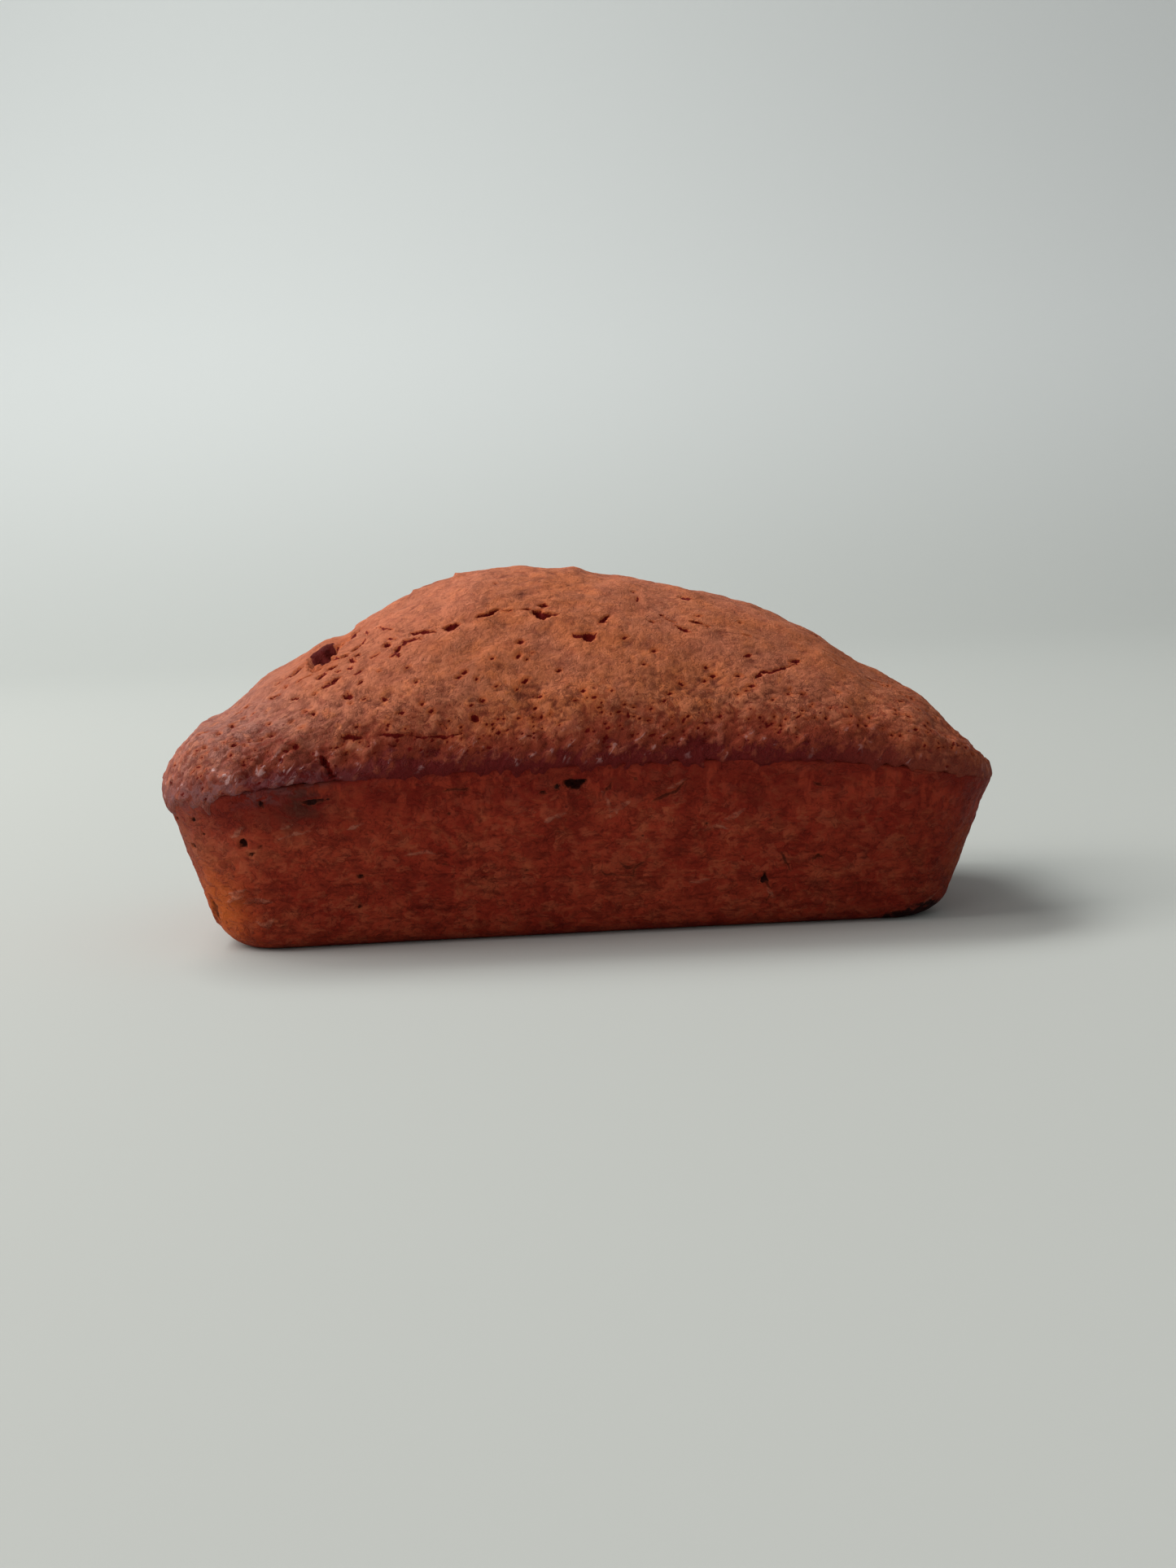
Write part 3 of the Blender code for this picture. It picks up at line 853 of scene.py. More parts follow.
@dataclass(frozen=True)
class CrustRelief:
    """The lumps that rising and browning left in the crust, the same on both shells.

    Args:
        seed: Draw of the first layer.
        layers: Cell and rise of the broad, middle and small lumps.
        froth: Cell and rise of the rough band along the rim, which reaches froth_reach from it.
        on_side: Share of the lumps that the smooth side keeps.
    """

    seed: int = 41
    layers: tuple[Pair, ...] = ((38, 1.1), (15, 0.9), (8, 0.55))
    froth: Pair = (11, 0.9)
    froth_reach: float = 7
    on_side: float = 0.35

    def lumps(self, points: Array, over_rim: Array) -> Array:
        """How far the crust stands out of the smooth form at each place.

        Args:
            points: Places on the form.
            over_rim: Their height over the rim.

        Returns:
            Three layers of smooth noise, weakened on the side, and a fourth that fades with the
            square of the distance from the rim.
        """
        strength = self.on_side + (1 - self.on_side) * np.clip(over_rim / 4, 0, 1)
        total = np.zeros(len(points))
        for layer, (cell, rise) in enumerate(self.layers):
            total += rise * noise(self.seed + layer, points, cell)
        froth = self.froth[1] * noise(self.seed + len(self.layers), points, self.froth[0])
        return total * strength + bell(over_rim, 3, self.froth_reach) * froth


@dataclass
class CrownCrust:
    """The risen top: a ragged lip over the side, the rolled edge, the dome, its cracks and hollow."""

    form: LoafForm
    relief: CrustRelief
    hollow: Hollow
    long_stations: int = 284
    short_stations: int = 112
    lip_rows: int = 7
    roll_rows: int = 70
    lip_width: float = 4.0
    lip_drop: float = 3.2
    gather_place: float = -35
    gather_reach: float = 13
    gather: float = 0.4
    fold_slant: float = 50.0
    ledges: tuple[tuple[float, float, float, float], ...] = ((-47.4, 3, 12, 1.1), (-34.2, -4, 9, 1.0))

    def insets(self) -> Array:
        """Insets of the roll's rows, spaced evenly along the arch in the middle of a long side."""
        form = self.form
        roll_part = form.roll_side * (1 - np.cos(np.linspace(0, np.pi / 2, 4000)))
        inset = np.concatenate((roll_part, np.linspace(form.roll_side, form.roll_reach, 2000)[1:]))
        lifted = np.sqrt(1 - (1 - np.minimum(inset / form.roll_side, 1)) ** 2)
        rise = lifted * (form.roll_side + form.dome(np.zeros(len(inset)), form.rim_width / 2 - inset))
        walked = np.concatenate(((0,), np.cumsum(np.hypot(np.diff(inset), np.diff(rise)))))
        return np.interp(np.linspace(0, walked[-1], self.roll_rows), walked, inset)

    def lip(self, walk: RimWalk) -> list[Array]:
        """Rows of the lip's underside, from inside the loaf out to the widest line.

        A quarter of an ellipse, lip_width wide; its drop is uneven, so that the lip's edge over the
        side is ragged.

        Args:
            walk: The stations.

        Returns:
            The rows, each with a point for every station.
        """
        rim = self.form.rim(walk)
        x, height = rim[:, 0], self.form.rim_height(rim[:, 0])
        along = np.column_stack((rim, np.zeros(walk.size)))
        uneven = np.clip(1 + 0.5 * noise(61, along, 9) + 0.75 * noise(62, along, 3.4, 2), 0.2, 1.9)
        sagged = 1 + 0.5 * bell(x, -108, 9) - 0.75 * bell(x, -80, 19)
        drop = self.lip_drop * uneven * (1 - 0.25 * ease((x - 40) / 60)) * sagged
        rows = []
        for turned in np.linspace(np.pi / 2, 0, self.lip_rows, endpoint=False):
            inset = self.lip_width * (1 - math.cos(turned))
            rows.append(np.column_stack((rim - walk.outward * inset, height - drop * math.sin(turned))))
        return rows

    def rolled_edge(self, walk: RimWalk) -> list[Array]:
        """Rows from the widest line over the rolled edge and up the dome's shoulder.

        Row by row the place moves in from the rim, and its height is the rim's plus a quarter of
        an ellipse times the roll and the dome's rise there.

        Args:
            walk: The stations.

        Returns:
            The rows, each with a point for every station.
        """
        form = self.form
        roll = form.roll(walk)
        rows = []
        for inset in self.insets():
            place = form.rim(walk) - walk.outward * inset
            lifted = np.sqrt(1 - (1 - np.minimum(inset / roll, 1)) ** 2)
            settled = roll + (form.roll_side - roll) * ease(inset / form.roll_reach)
            rise = lifted * (settled + form.dome(place[:, 0], place[:, 1]))
            rows.append(np.column_stack((place, form.rim_height(place[:, 0]) + rise)))
        return rows

    def smooth_shell(self) -> Shell:
        """The crown without its relief: lip, rolled edge, dome and a hidden underside.

        The lines of the dome's grid are drawn towards the open cracks, by a bell curve that is 0 at
        the grid's border.
        """
        form = self.form
        walk = form.walk(self.long_stations, self.short_stations)
        rows = self.lip(walk) + self.rolled_edge(walk)
        plan = fill_ring(rows[-1][:, :2], walk)
        x, y = plan[..., 0], plan[..., 1]
        inside = np.outer(*(np.sin(np.linspace(0, np.pi, count)) for count in plan.shape[:2]))
        pull = self.gather * bell(y, self.gather_place, self.gather_reach) * np.sqrt(np.clip(inside, 0, 1))
        y = y + pull * (self.gather_place - y)
        dome = np.stack((x, y, form.rim_height(x) + form.roll_side + form.dome(x, y)), axis=-1)
        under, ends = floor_faces(walk, 0)
        last_ring = (len(rows) - 1) * walk.size
        quads = np.concatenate((ring_faces(len(rows), walk.size), grid_faces(walk, last_ring), under))
        return Shell(np.concatenate([*rows, dome[1:-1, 1:-1].reshape(-1, 3)]), quads, ends)

    def ledge(self, points: Array) -> Array:
        """Flakes that stand up at their left edge by the crest and sink away to the right.

        Args:
            points: Places on the smooth shell.

        Returns:
            How far each place is moved out.
        """
        total = np.zeros(len(points))
        for x, y, reach, rise in self.ledges:
            past, beside = points[:, 0] - x, (points[:, 1] - y) / reach
            total += rise * ease(past / 0.6) * np.exp(-past.clip(0) / reach - beside**2)
        return total

    def bubbles(self, points: Array, normals: Array) -> tuple[Array, Array]:
        """Find the burst bubbles that have a place of their own.

        Args:
            points: Places on the smooth shell.
            normals: Outward directions there.

        Returns:
            The numbers of the points that they are centred on, and the radius of each.
        """
        listed = np.array(BUBBLES)
        off_front = np.where(normals[:, 1] < -0.2, 0, 1000)
        nearest = [
            np.argmin(np.abs(points[:, (0, 2)] - place).sum(axis=1) + off_front) for place in listed[:, :2]
        ]
        return np.array(nearest), 0.85 * listed[:, 2]

    def fine_relief(self, points: Array, over_rim: Array, flank: Array) -> Array:
        """Small unevenness: a grained skin with creases, and slanting folds low down by the rim.

        Args:
            points: Places on the smooth shell.
            over_rim: Their height over the rim.
            flank: 1 at the rim, fading to 0 up the dome.

        Returns:
            How far each place is moved out.
        """
        x, y, z = points.T
        skin = noise(71, points, 4.4, 3, 0.6)
        creases = 1 - np.abs(noise(74, points, (7, 5, 3.4), 2))
        froth = noise(77, points, 3.0, 2, 0.6)
        turned = math.cos(math.radians(self.fold_slant)), math.sin(math.radians(self.fold_slant))
        slanted = np.column_stack((x * turned[0] + z * turned[1], y, z * turned[0] - x * turned[1]))
        folds = noise(79, slanted, (7, 3.4, 2.4), 2)
        frothy = ease((over_rim - 1.5) / 3)
        calm = 1 - 0.6 * ease((x - 30) / 50)
        fine = (0.2 + 0.2 * flank) * (0.35 + 0.65 * frothy) * (0.4 + 0.6 * calm) * skin
        fine -= (0.12 + 0.28 * flank) * frothy * ease((creases - 0.8) / 0.2)
        fine += bell(over_rim, 6.5, 4.5) * calm * (0.3 * froth + 0.55 * folds)
        on_lip = bell(over_rim, -0.5, 3) * (0.6 * calm + 0.4 * ease((-40 - x) / 40))
        return fine + on_lip * (0.3 * froth + 0.3 * folds)

    def build(self) -> Shell:
        """The crown with all of its relief, and its marks for the finish."""
        shell = self.smooth_shell()
        points, normals = shell.points, shell.normals()
        x = points[:, 0]
        over_rim = points[:, 2] - self.form.rim_height(x)
        on_crown = np.clip((over_rim - 2) / 6, 0, 1)
        flank = ease(1 - np.clip(over_rim / 34, 0, 1))
        fine = self.fine_relief(points, over_rim, flank)

        tear_depth, torn, painted_hollow_shade = self.hollow.tear(points)
        to_right, to_left = ease((x - 40) / 50), ease((-52 - x) / 30)
        density = np.clip(on_crown, 0.02, 1) * (normals[:, 2] > -0.1) * (0.12 + flank**1.5)
        density *= (1 + 0.7 * noise(81, points, 22)) * (1 - 0.55 * to_right - 0.6 * to_left)
        low_down = 0.15 + bell(over_rim, 6, 4.5) + flank**2
        openings = Openings(points, normals)
        openings.add_cracks(TOP_CRACKS, 51)
        openings.add_pits(*self.bubbles(points, normals), 1.2, 1.6, 95)
        openings.add_pits(*scatter(density, 110, (0.45, 0.8), 91), 1.2, 1.9, 96)
        openings.add_pits(*scatter(density * low_down, 620, (0.42, 0.58), 92), 0.9, 1.7, 97)

        moved = self.relief.lumps(points, over_rim) + fine + self.ledge(points)
        moved -= openings.depth + tear_depth * (on_crown > 0)
        shell.points = points + normals * moved[:, None]
        shell.marks = {
            **openings.marks(),
            # painted shade: the hollow's back wall is painted dark
            "hollow": painted_hollow_shade,
            "torn": torn * on_crown,
            "over_rim": np.clip(over_rim, -5, 40),
            "grain": np.clip(0.5 + fine, 0, 1),
            "flank": flank,
            "calm": 1 - 0.45 * to_right - 0.35 * to_left,
            "left": ease((-50 - x) / 48),
            "soot": spot(points, (-79, -60, 57.5), (8, 12, 5)),
            "fresh": spot(points, (-73, -26, 82), (15, 26, 14)),
            # painted shade: darker towards the right end, away from the light
            "right": ease((x - 30) / 60),
            "band": band_strength(x, -88),
        }
        return shell


@dataclass
class SideCrust:
    """The sides and base that browned against the tin: smooth, streaked and a little glossy."""

    form: LoafForm
    relief: CrustRelief
    long_stations: int = 316
    short_stations: int = 148
    edge_rows: int = 9
    wall_rows: int = 82
    flush: float = 1.08
    flush_depth: float = 8
    tuck: tuple[Pair, ...] = ((2.2, 0.2), (4.5, 1.2), (8, 1.8))

    def rows(self, walk: RimWalk) -> list[Array]:
        """Rows from the base's edge, a quarter turn, up the leaning wall and in under the lip.

        Args:
            walk: The stations.

        Returns:
            The rows, each with a point for every station.
        """
        form = self.form
        rim = form.rim(walk)
        height = form.rim_height(rim[:, 0])
        under = np.maximum(np.abs(walk.outward[:, 1]), walk.outward[:, 0] > 0)
        rows = []
        for turned in np.linspace(0, np.pi / 2, self.edge_rows, endpoint=False):
            level = np.full(walk.size, form.base_edge * (1 - math.cos(turned)))
            rows.append(form.wall_row(walk, level, form.base_edge * (1 - math.sin(turned))))
        for climbed in np.linspace(0, 1, self.wall_rows):
            level = form.base_edge + (height - form.overhang - form.base_edge) * climbed
            near_lip = ease(1 - (height - form.overhang - level) / self.flush_depth)
            swell = form.side_swell * math.sin(np.pi * climbed)
            rows.append(form.wall_row(walk, level, -swell - self.flush * under * near_lip))
        for inset, lift in self.tuck:
            rows.append(np.column_stack((rim - walk.outward * inset, height + lift)))
        return rows

    def smooth_shell(self) -> Shell:
        """The side without its relief, closed by the flat base and a hidden top."""
        walk = self.form.walk(self.long_stations, self.short_stations)
        rows = self.rows(walk)
        base, base_ends = floor_faces(walk, 0)
        top, top_ends = floor_faces(walk, (len(rows) - 1) * walk.size)
        quads = np.concatenate((ring_faces(len(rows), walk.size), base, top[:, ::-1]))
        return Shell(np.concatenate(rows), quads, base_ends + [cap[::-1] for cap in top_ends])

    def build(self) -> Shell:
        """The side with its streaks, slots and creases, and its marks for the finish."""
        shell = self.smooth_shell()
        points, normals = shell.points, shell.normals()
        x, z = points[:, 0], points[:, 2]
        height = self.form.rim_height(x)
        share = z / height
        band = bell(share, 0.9, 0.12)

        streaks = noise(111, points, (9, 9, 2.6), 3, 0.6)
        mottle = noise(114, points, 5, 3, 0.6)
        upright = noise(117, points, (3.2, 3.2, 20))
        wrinkles = ease((0.2 - np.abs(noise(119, points, (9, 9, 3), 2))) / 0.2)
        wrinkled = ease(0.5 + 1.4 * noise(121, points, 24))
        fine = (0.12 * streaks + 0.12 * mottle) * (1 - 0.5 * band) + 0.14 * upright * band
        fine += 0.16 * wrinkles * wrinkled * (1 - band)

        openings = Openings(points, normals)
        openings.add_cracks(SIDE_CRACKS, 131)
        density = (normals[:, 2] > -0.6) * (share < 0.93) * (share > 0.12) + 1e-9
        openings.add_pits(*scatter(density, 90, (0.25, 0.6), 141), 1.2, 1.8, 142)
        folds = Openings(points, normals)
        drawn = (drawn_folds(Side.BACK, 100, 26, 151) + drawn_folds(Side.LEFT, 40, 9, 152)
                 + drawn_folds(Side.RIGHT, 40, 9, 153))
        folds.add_cracks(SIDE_FOLDS + drawn, 161)
        moved = self.relief.lumps(points, z - height) + fine + self.flap(points)
        moved += folds.depth - openings.depth
        shell.points = points + normals * (moved * np.clip(z / 6, 0, 1))[:, None]

        # a charred patch at the low right corner, plus painted shadow along the base where it meets the floor
        burnt_and_shade = 1.3 * spot(points, (97, -43, 1.5), (10, 9, 4.2)) + 0.4 * bell(z, 0, 2.6)
        # painted light: the lower left corner is lighter and more orange where it catches the light, with a
        # weaker patch at the right corner
        painted_corner_light = spot(points, (-104, -42, 12), (9, 14, 15)) + 0.4 * spot(points, (109, -42, 15), (5, 14, 9))
        shell.marks = {
            **openings.marks(),
            **folds.marks("fold"),
            "below_rim": np.clip(height - z, -5, 60),
            "painted_corner_light": painted_corner_light,
            "soot": spot(points, (-4, -58, 38.5), (2.6, 20, 6)) + spot(points, (47, -58, 38), (5, 20, 4)),
            # painted light on the upper left corner
            "tan": spot(points, (-112, -42, 34), (14, 22, 15)),
            "burnt_and_shade": np.clip(burnt_and_shade, 0, 1.5),
            # painted shade: darker towards the right end, away from the light
            "painted_right_shade": ease((x - 30) / 90),
            # the dark band below the rim: darker crust, and partly painted shadow under the crown's lip
            "band": band_strength(x, -98),
            "grey": spot(points, (-78, -60, 43), (6.5, 20, 7)),
            "left": ease((-58 - x) / 26),
            "grain": np.clip(0.5 + fine / 0.8, 0, 1),
        }
        return shell

    def flap(self, points: Array) -> Array:
        """The sliver of crust that curls off the corner at the low left, beside its crack.

        Args:
            points: Places on the smooth shell.

        Returns:
            How far each place is moved out.
        """
        x, y, z = points.T
        beside = -106.4 - 0.13 * (z - 12) - x
        standing = ease(beside / 0.6) * ease((4.5 - beside) / 3)
        return 0.9 * standing * ease((z - 3) / 4) * ease((20 - z) / 12) * (y < 0)


def fit_to_box(shells: list[Shell], low: Vector, high: Vector) -> None:
    """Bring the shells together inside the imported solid's box, all by one scale and one shift.

    Args:
        shells: The shells, changed in place.
        low: Lowest corner of the box, in metres.
        high: Highest corner of the box, in metres.
    """
    margin = 0.02
    box_low, box_high = np.array(low) / MM + margin, np.array(high) / MM - margin
    own_low = np.min([shell.points.min(axis=0) for shell in shells], axis=0)
    own_high = np.max([shell.points.max(axis=0) for shell in shells], axis=0)
    scale = min(1.0, float(((box_high - box_low) / (own_high - own_low)).min()))
    middle = (own_low + own_high) / 2
    target = (box_low + box_high) / 2
    for shell in shells:
        placed = (shell.points - middle) * scale + target
        placed[:, 2] = (shell.points[:, 2] - own_low[2]) * scale + low[2] / MM
        shell.points = placed
    LOG.info("fitted by %.4f, shifted by %s mm", scale, np.round(target - middle, 2))


# ---------------------------------------------------------------------------------------------
# Finishes
# ---------------------------------------------------------------------------------------------


def rgb(red: int, green: int, blue: int) -> Triple:
    """Turn a colour as a screen shows it into the linear values that a shader takes.

    Args:
        red, green, blue: Screen values of 0 to 255.

    Returns:
        Each as a share by the sRGB curve: a straight start, then a power of 2.4.
    """
    share = np.array((red, green, blue)) / 255
    linear = np.where(share <= 0.04045, share / 12.92, ((share + 0.055) / 1.055) ** 2.4)
    return tuple(float(value) for value in linear)


@dataclass(frozen=True)
class Wire:
    """An output of a node; arithmetic on it adds the node that works out the result.

    Args:
        bench: The bench that the node lies on.
        socket: The output.
    """

    bench: "Bench"
    socket: bpy.types.NodeSocket

    def step(self, operation: str, other: "Wire | float" = 0.0) -> "Wire":
        """One step of arithmetic."""
        return self.bench.make("ShaderNodeMath", "Value", {0: self, 1: other}, operation=operation)

    def __add__(self, other: "Wire | float") -> "Wire":
        """The sum of two values."""
        return self.step("ADD", other)

    def __sub__(self, other: "Wire | float") -> "Wire":
        """The difference of two values."""
        return self.step("SUBTRACT", other)

    def __mul__(self, other: "Wire | float") -> "Wire":
        """The product of two values."""
        return self.step("MULTIPLY", other)

    def most(self, other: "Wire | float") -> "Wire":
        """The greater of two values."""
        return self.step("MAXIMUM", other)

    def size(self) -> "Wire":
        """The value without its sign."""
        return self.step("ABSOLUTE")

    def ramp(self, low: float, high: float, out_low: float = 0.0, out_high: float = 1.0) -> "Wire":
        """Spread the range low to high smoothly over out_low to out_high, held at both ends."""
        given = {"Value": self, "From Min": low, "From Max": high, "To Min": out_low, "To Max": out_high}
        return self.bench.make("ShaderNodeMapRange", "Result", given, interpolation_type="SMOOTHSTEP")


Given = dict[str | int, Wire | float | Triple]


class Bench:
    """Lays out and wires the nodes of one tree, from left to right."""

    def __init__(self, tree: bpy.types.NodeTree) -> None:
        """Start on a tree.

        Args:
            tree: A material's or a group's node tree.
        """
        self.tree = tree
        self.placed = 0

    def feed(self, node: bpy.types.Node, given: Given) -> None:
        """Give inputs of a node a wire, or a value of their own.

        Args:
            node: The node.
            given: A wire or a value for each of the inputs named.
        """
        for name, value in given.items():
            socket = node.inputs[name]
            if isinstance(value, Wire):
                self.tree.links.new(value.socket, socket)
            else:
                socket.default_value = (*value, 1.0) if socket.type == "RGBA" else value

    def add(self, kind: str, given: Given, **settings: object) -> bpy.types.Node:
        """Add a node.

        Args:
            kind: The node's type.
            given: A wire or a value for each of the inputs named.
            settings: Properties to set on it.

        Returns:
            The node.
        """
        node = self.tree.nodes.new(kind)
        node.location = (220 * (self.placed % 8), -260 * (self.placed // 8))
        self.placed += 1
        for name, value in settings.items():
            setattr(node, name, value)
        self.feed(node, given)
        return node

    def make(self, kind: str, output: str | int, given: Given, **settings: object) -> Wire:
        """Add a node and take one of its outputs."""
        return Wire(self, self.add(kind, given, **settings).outputs[output])

    def marks(self, *names: str) -> list[Wire]:
        """Point attributes of the mesh."""
        return [self.make("ShaderNodeAttribute", "Fac", {}, attribute_name=name) for name in names]

    def place(self) -> Wire:
        """Object coordinates."""
        return self.make("ShaderNodeTexCoord", "Object", {})

    def stretched(self, place: Wire, scale: Triple) -> Wire:
        """Coordinates scaled by axis, so that a pattern on them is drawn out."""
        return self.make("ShaderNodeMapping", "Vector", {"Vector": place, "Scale": scale})

    def slanted(self, place: Wire, degrees: float, length: float) -> Wire:
        """Coordinates on which a pattern is drawn out by length along a slant from the level."""
        given = {"Vector": place, "Rotation": (0, -math.radians(degrees), 0), "Scale": (length, 1.4, 1)}
        return self.make("ShaderNodeMapping", "Vector", given, vector_type="TEXTURE")

    def pushed(self, place: Wire, tint: Wire, distance: float) -> Wire:
        """Coordinates pushed along by a colour, by the distance for a full channel."""
        push = self.make("ShaderNodeVectorMath", "Vector", {0: tint, "Scale": distance}, operation="SCALE")
        return self.make("ShaderNodeVectorMath", "Vector", {0: place, 1: push}, operation="ADD")

    def channel(self, colour: Wire, number: int) -> Wire:
        """One channel of a colour."""
        return self.make("ShaderNodeSeparateColor", number, {0: colour})

    def tinted_noise(self, place: Wire, scale: Wire | float, detail: float, rough: float,
                     twist: float) -> tuple[Wire, Wire]:
        """Noise of 0 to 1 and its colour.

        Args:
            place: Coordinates.
            scale: How many of its features go into a metre.
            detail: Extra layers.
            rough: Strength of those layers.
            twist: How much the noise distorts itself.

        Returns:
            Its value and its colour.
        """
        node = self.add("ShaderNodeTexNoise", {
            "Vector": place, "Scale": scale, "Detail": detail, "Roughness": rough, "Distortion": twist,
        })
        return Wire(self, node.outputs["Fac"]), Wire(self, node.outputs["Color"])

    def noise(self, place: Wire, cell: float, detail: float = 2.0, rough: float = 0.5,
              twist: float = 0.0) -> Wire:
        """Noise of 0 to 1 whose features have the size of the cell, in metres."""
        return self.tinted_noise(place, 1 / cell, detail, rough, twist)[0]

    def group(self, tree: bpy.types.NodeTree, given: Given) -> list[Wire]:
        """Place a node group and take all of its outputs."""
        node = self.add("ShaderNodeGroup", given, node_tree=tree)
        return [Wire(self, socket) for socket in node.outputs]

    def layers(self, ground: Triple, *laid: tuple[Wire, Triple]) -> Wire:
        """Lay colours over one another.

        Args:
            ground: The lowest colour.
            laid: From the bottom up, how much of a colour shows and the colour.

        Returns:
            The colour that results.
        """
        colour = ground
        for share, upper in laid:
            colour = self.make("ShaderNodeMix", 2, {0: share, 6: colour, 7: upper}, data_type="RGBA")
        return colour

    def bumps(self, *layers: tuple[Wire, float, float]) -> Wire:
        """Shade heights of 0 to 1 as relief.

        Args:
            layers: From the bottom up, a height, its distance in metres and its strength.

        Returns:
            The normal that results.
        """
        under = {}
        for height, distance, strength in layers:
            given = {"Height": height, "Distance": distance, "Strength": strength, **under}
            under = {"Normal": self.make("ShaderNodeBump", "Normal", given)}
        return under["Normal"]


def new_group(name: str, takes: tuple[str, ...], gives: tuple[str, ...]) -> list[Wire]:
    """Start a node group.

    Args:
        name: Its name.
        takes: Its inputs; Place is a vector and the others are values.
        gives: Its outputs, which are values.

    Returns:
        A wire from each input, on the group's own bench.
    """
    tree = bpy.data.node_groups.new(name, "ShaderNodeTree")
    for way, names in (("INPUT", takes), ("OUTPUT", gives)):
        for socket in names:
            kind = "NodeSocketVector" if socket == "Place" else "NodeSocketFloat"
            tree.interface.new_socket(socket, in_out=way, socket_type=kind)
    bench = Bench(tree)
    inputs = bench.add("NodeGroupInput", {}).outputs
    return [Wire(bench, inputs[socket]) for socket in takes]


def crumb_grain_group() -> bpy.types.NodeTree:
    """The small-scale look that both crusts share: patches, grain, flakes, crevices and pin holes.

    Returns:
        A group that takes a Place and the scales of its patterns. Patches and Grain are noise of
        0 to 1, Crevices is 1 along the thin valleys of a folded noise, Pin Holes is 1 in a hole,
        Flakes is a value of 0 to 1 of its own for each flake, and Seams is 1 between two of them.
    """
    place, patch_scale, grain_scale, crevice_scale, hole_scale, flake_scale = new_group(
        "crumb grain",
        ("Place", "Patch Scale", "Grain Scale", "Crevice Scale", "Hole Scale", "Flake Scale"),
        ("Patches", "Grain", "Crevices", "Pin Holes", "Flakes", "Seams"),
    )
    bench = place.bench
    patches, patch_tint = bench.tinted_noise(place, patch_scale, 4.0, 0.6, 0.6)
    grain, grain_tint = bench.tinted_noise(place, grain_scale, 3.0, 0.65, 0.3)
    folds = bench.tinted_noise(place, crevice_scale, 3.0, 0.55, 1.2)[0]

    moved = bench.pushed(place, grain_tint, 0.0012)
    holes = bench.add("ShaderNodeTexVoronoi", {"Vector": moved, "Scale": hole_scale}).outputs
    in_hole = Wire(bench, holes["Distance"]).ramp(0.1, 0.2, 1.0, 0.0)
    chosen = bench.channel(Wire(bench, holes["Color"]), 0).ramp(0.8, 0.86)

    swirled = {"Vector": bench.pushed(moved, patch_tint, 0.007), "Scale": flake_scale}
    tone = bench.make("ShaderNodeTexVoronoi", "Color", {**swirled, "Smoothness": 0.35}, feature="SMOOTH_F1")
    from_seam = bench.make("ShaderNodeTexVoronoi", "Distance", swirled, feature="DISTANCE_TO_EDGE")
    bench.add("NodeGroupOutput", {
        "Patches": patches,
        "Grain": grain,
        "Crevices": (folds - 0.5).size().ramp(0.006, 0.04, 1.0, 0.0) * patches.ramp(0.54, 0.46),
        "Pin Holes": in_hole * chosen,
        "Flakes": bench.channel(tone, 1),
        "Seams": from_seam.ramp(0.02, 0.16, 1.0, 0.0),
    })
    return bench.tree


def opening_group() -> bpy.types.NodeTree:
    """Edges of cracks and pits, drawn from the mesh's marks and roughened by a noise.

    Returns:
        A group with the inputs Side, Near, Width and Pit, in millimetres, and Noise, of 0 to 1;
        its output Open is 1 inside an opening and Edge is 1 in the strip along it.
    """
    side, near, width, pit, ragged = new_group(
        "openings", ("Side", "Near", "Width", "Pit", "Noise"), ("Open", "Edge"),
    )
    off_path = (near - width).ramp(0.25, 0.5) * 3.0
    inside = width - side.size() - off_path * near.ramp(0.5, 0.9)
    deepest = inside.most(pit) + (ragged - 0.5) * 0.8
    side.bench.add("NodeGroupOutput", {"Open": deepest.ramp(-0.14, 0.12), "Edge": deepest.ramp(-0.9, -0.1)})
    return side.bench.tree


def painted(name: str, paint: Callable[[Bench], Given]) -> bpy.types.Material:
    """Make a material.

    Args:
        name: Its name.
        paint: Lays its nodes on a bench and returns what the shader's inputs take.

    Returns:
        The material.
    """
    material = bpy.data.materials.new(name)
    material.use_nodes = True
    bench = Bench(material.node_tree)
    bench.feed(material.node_tree.nodes["Principled BSDF"], paint(bench))
    return material


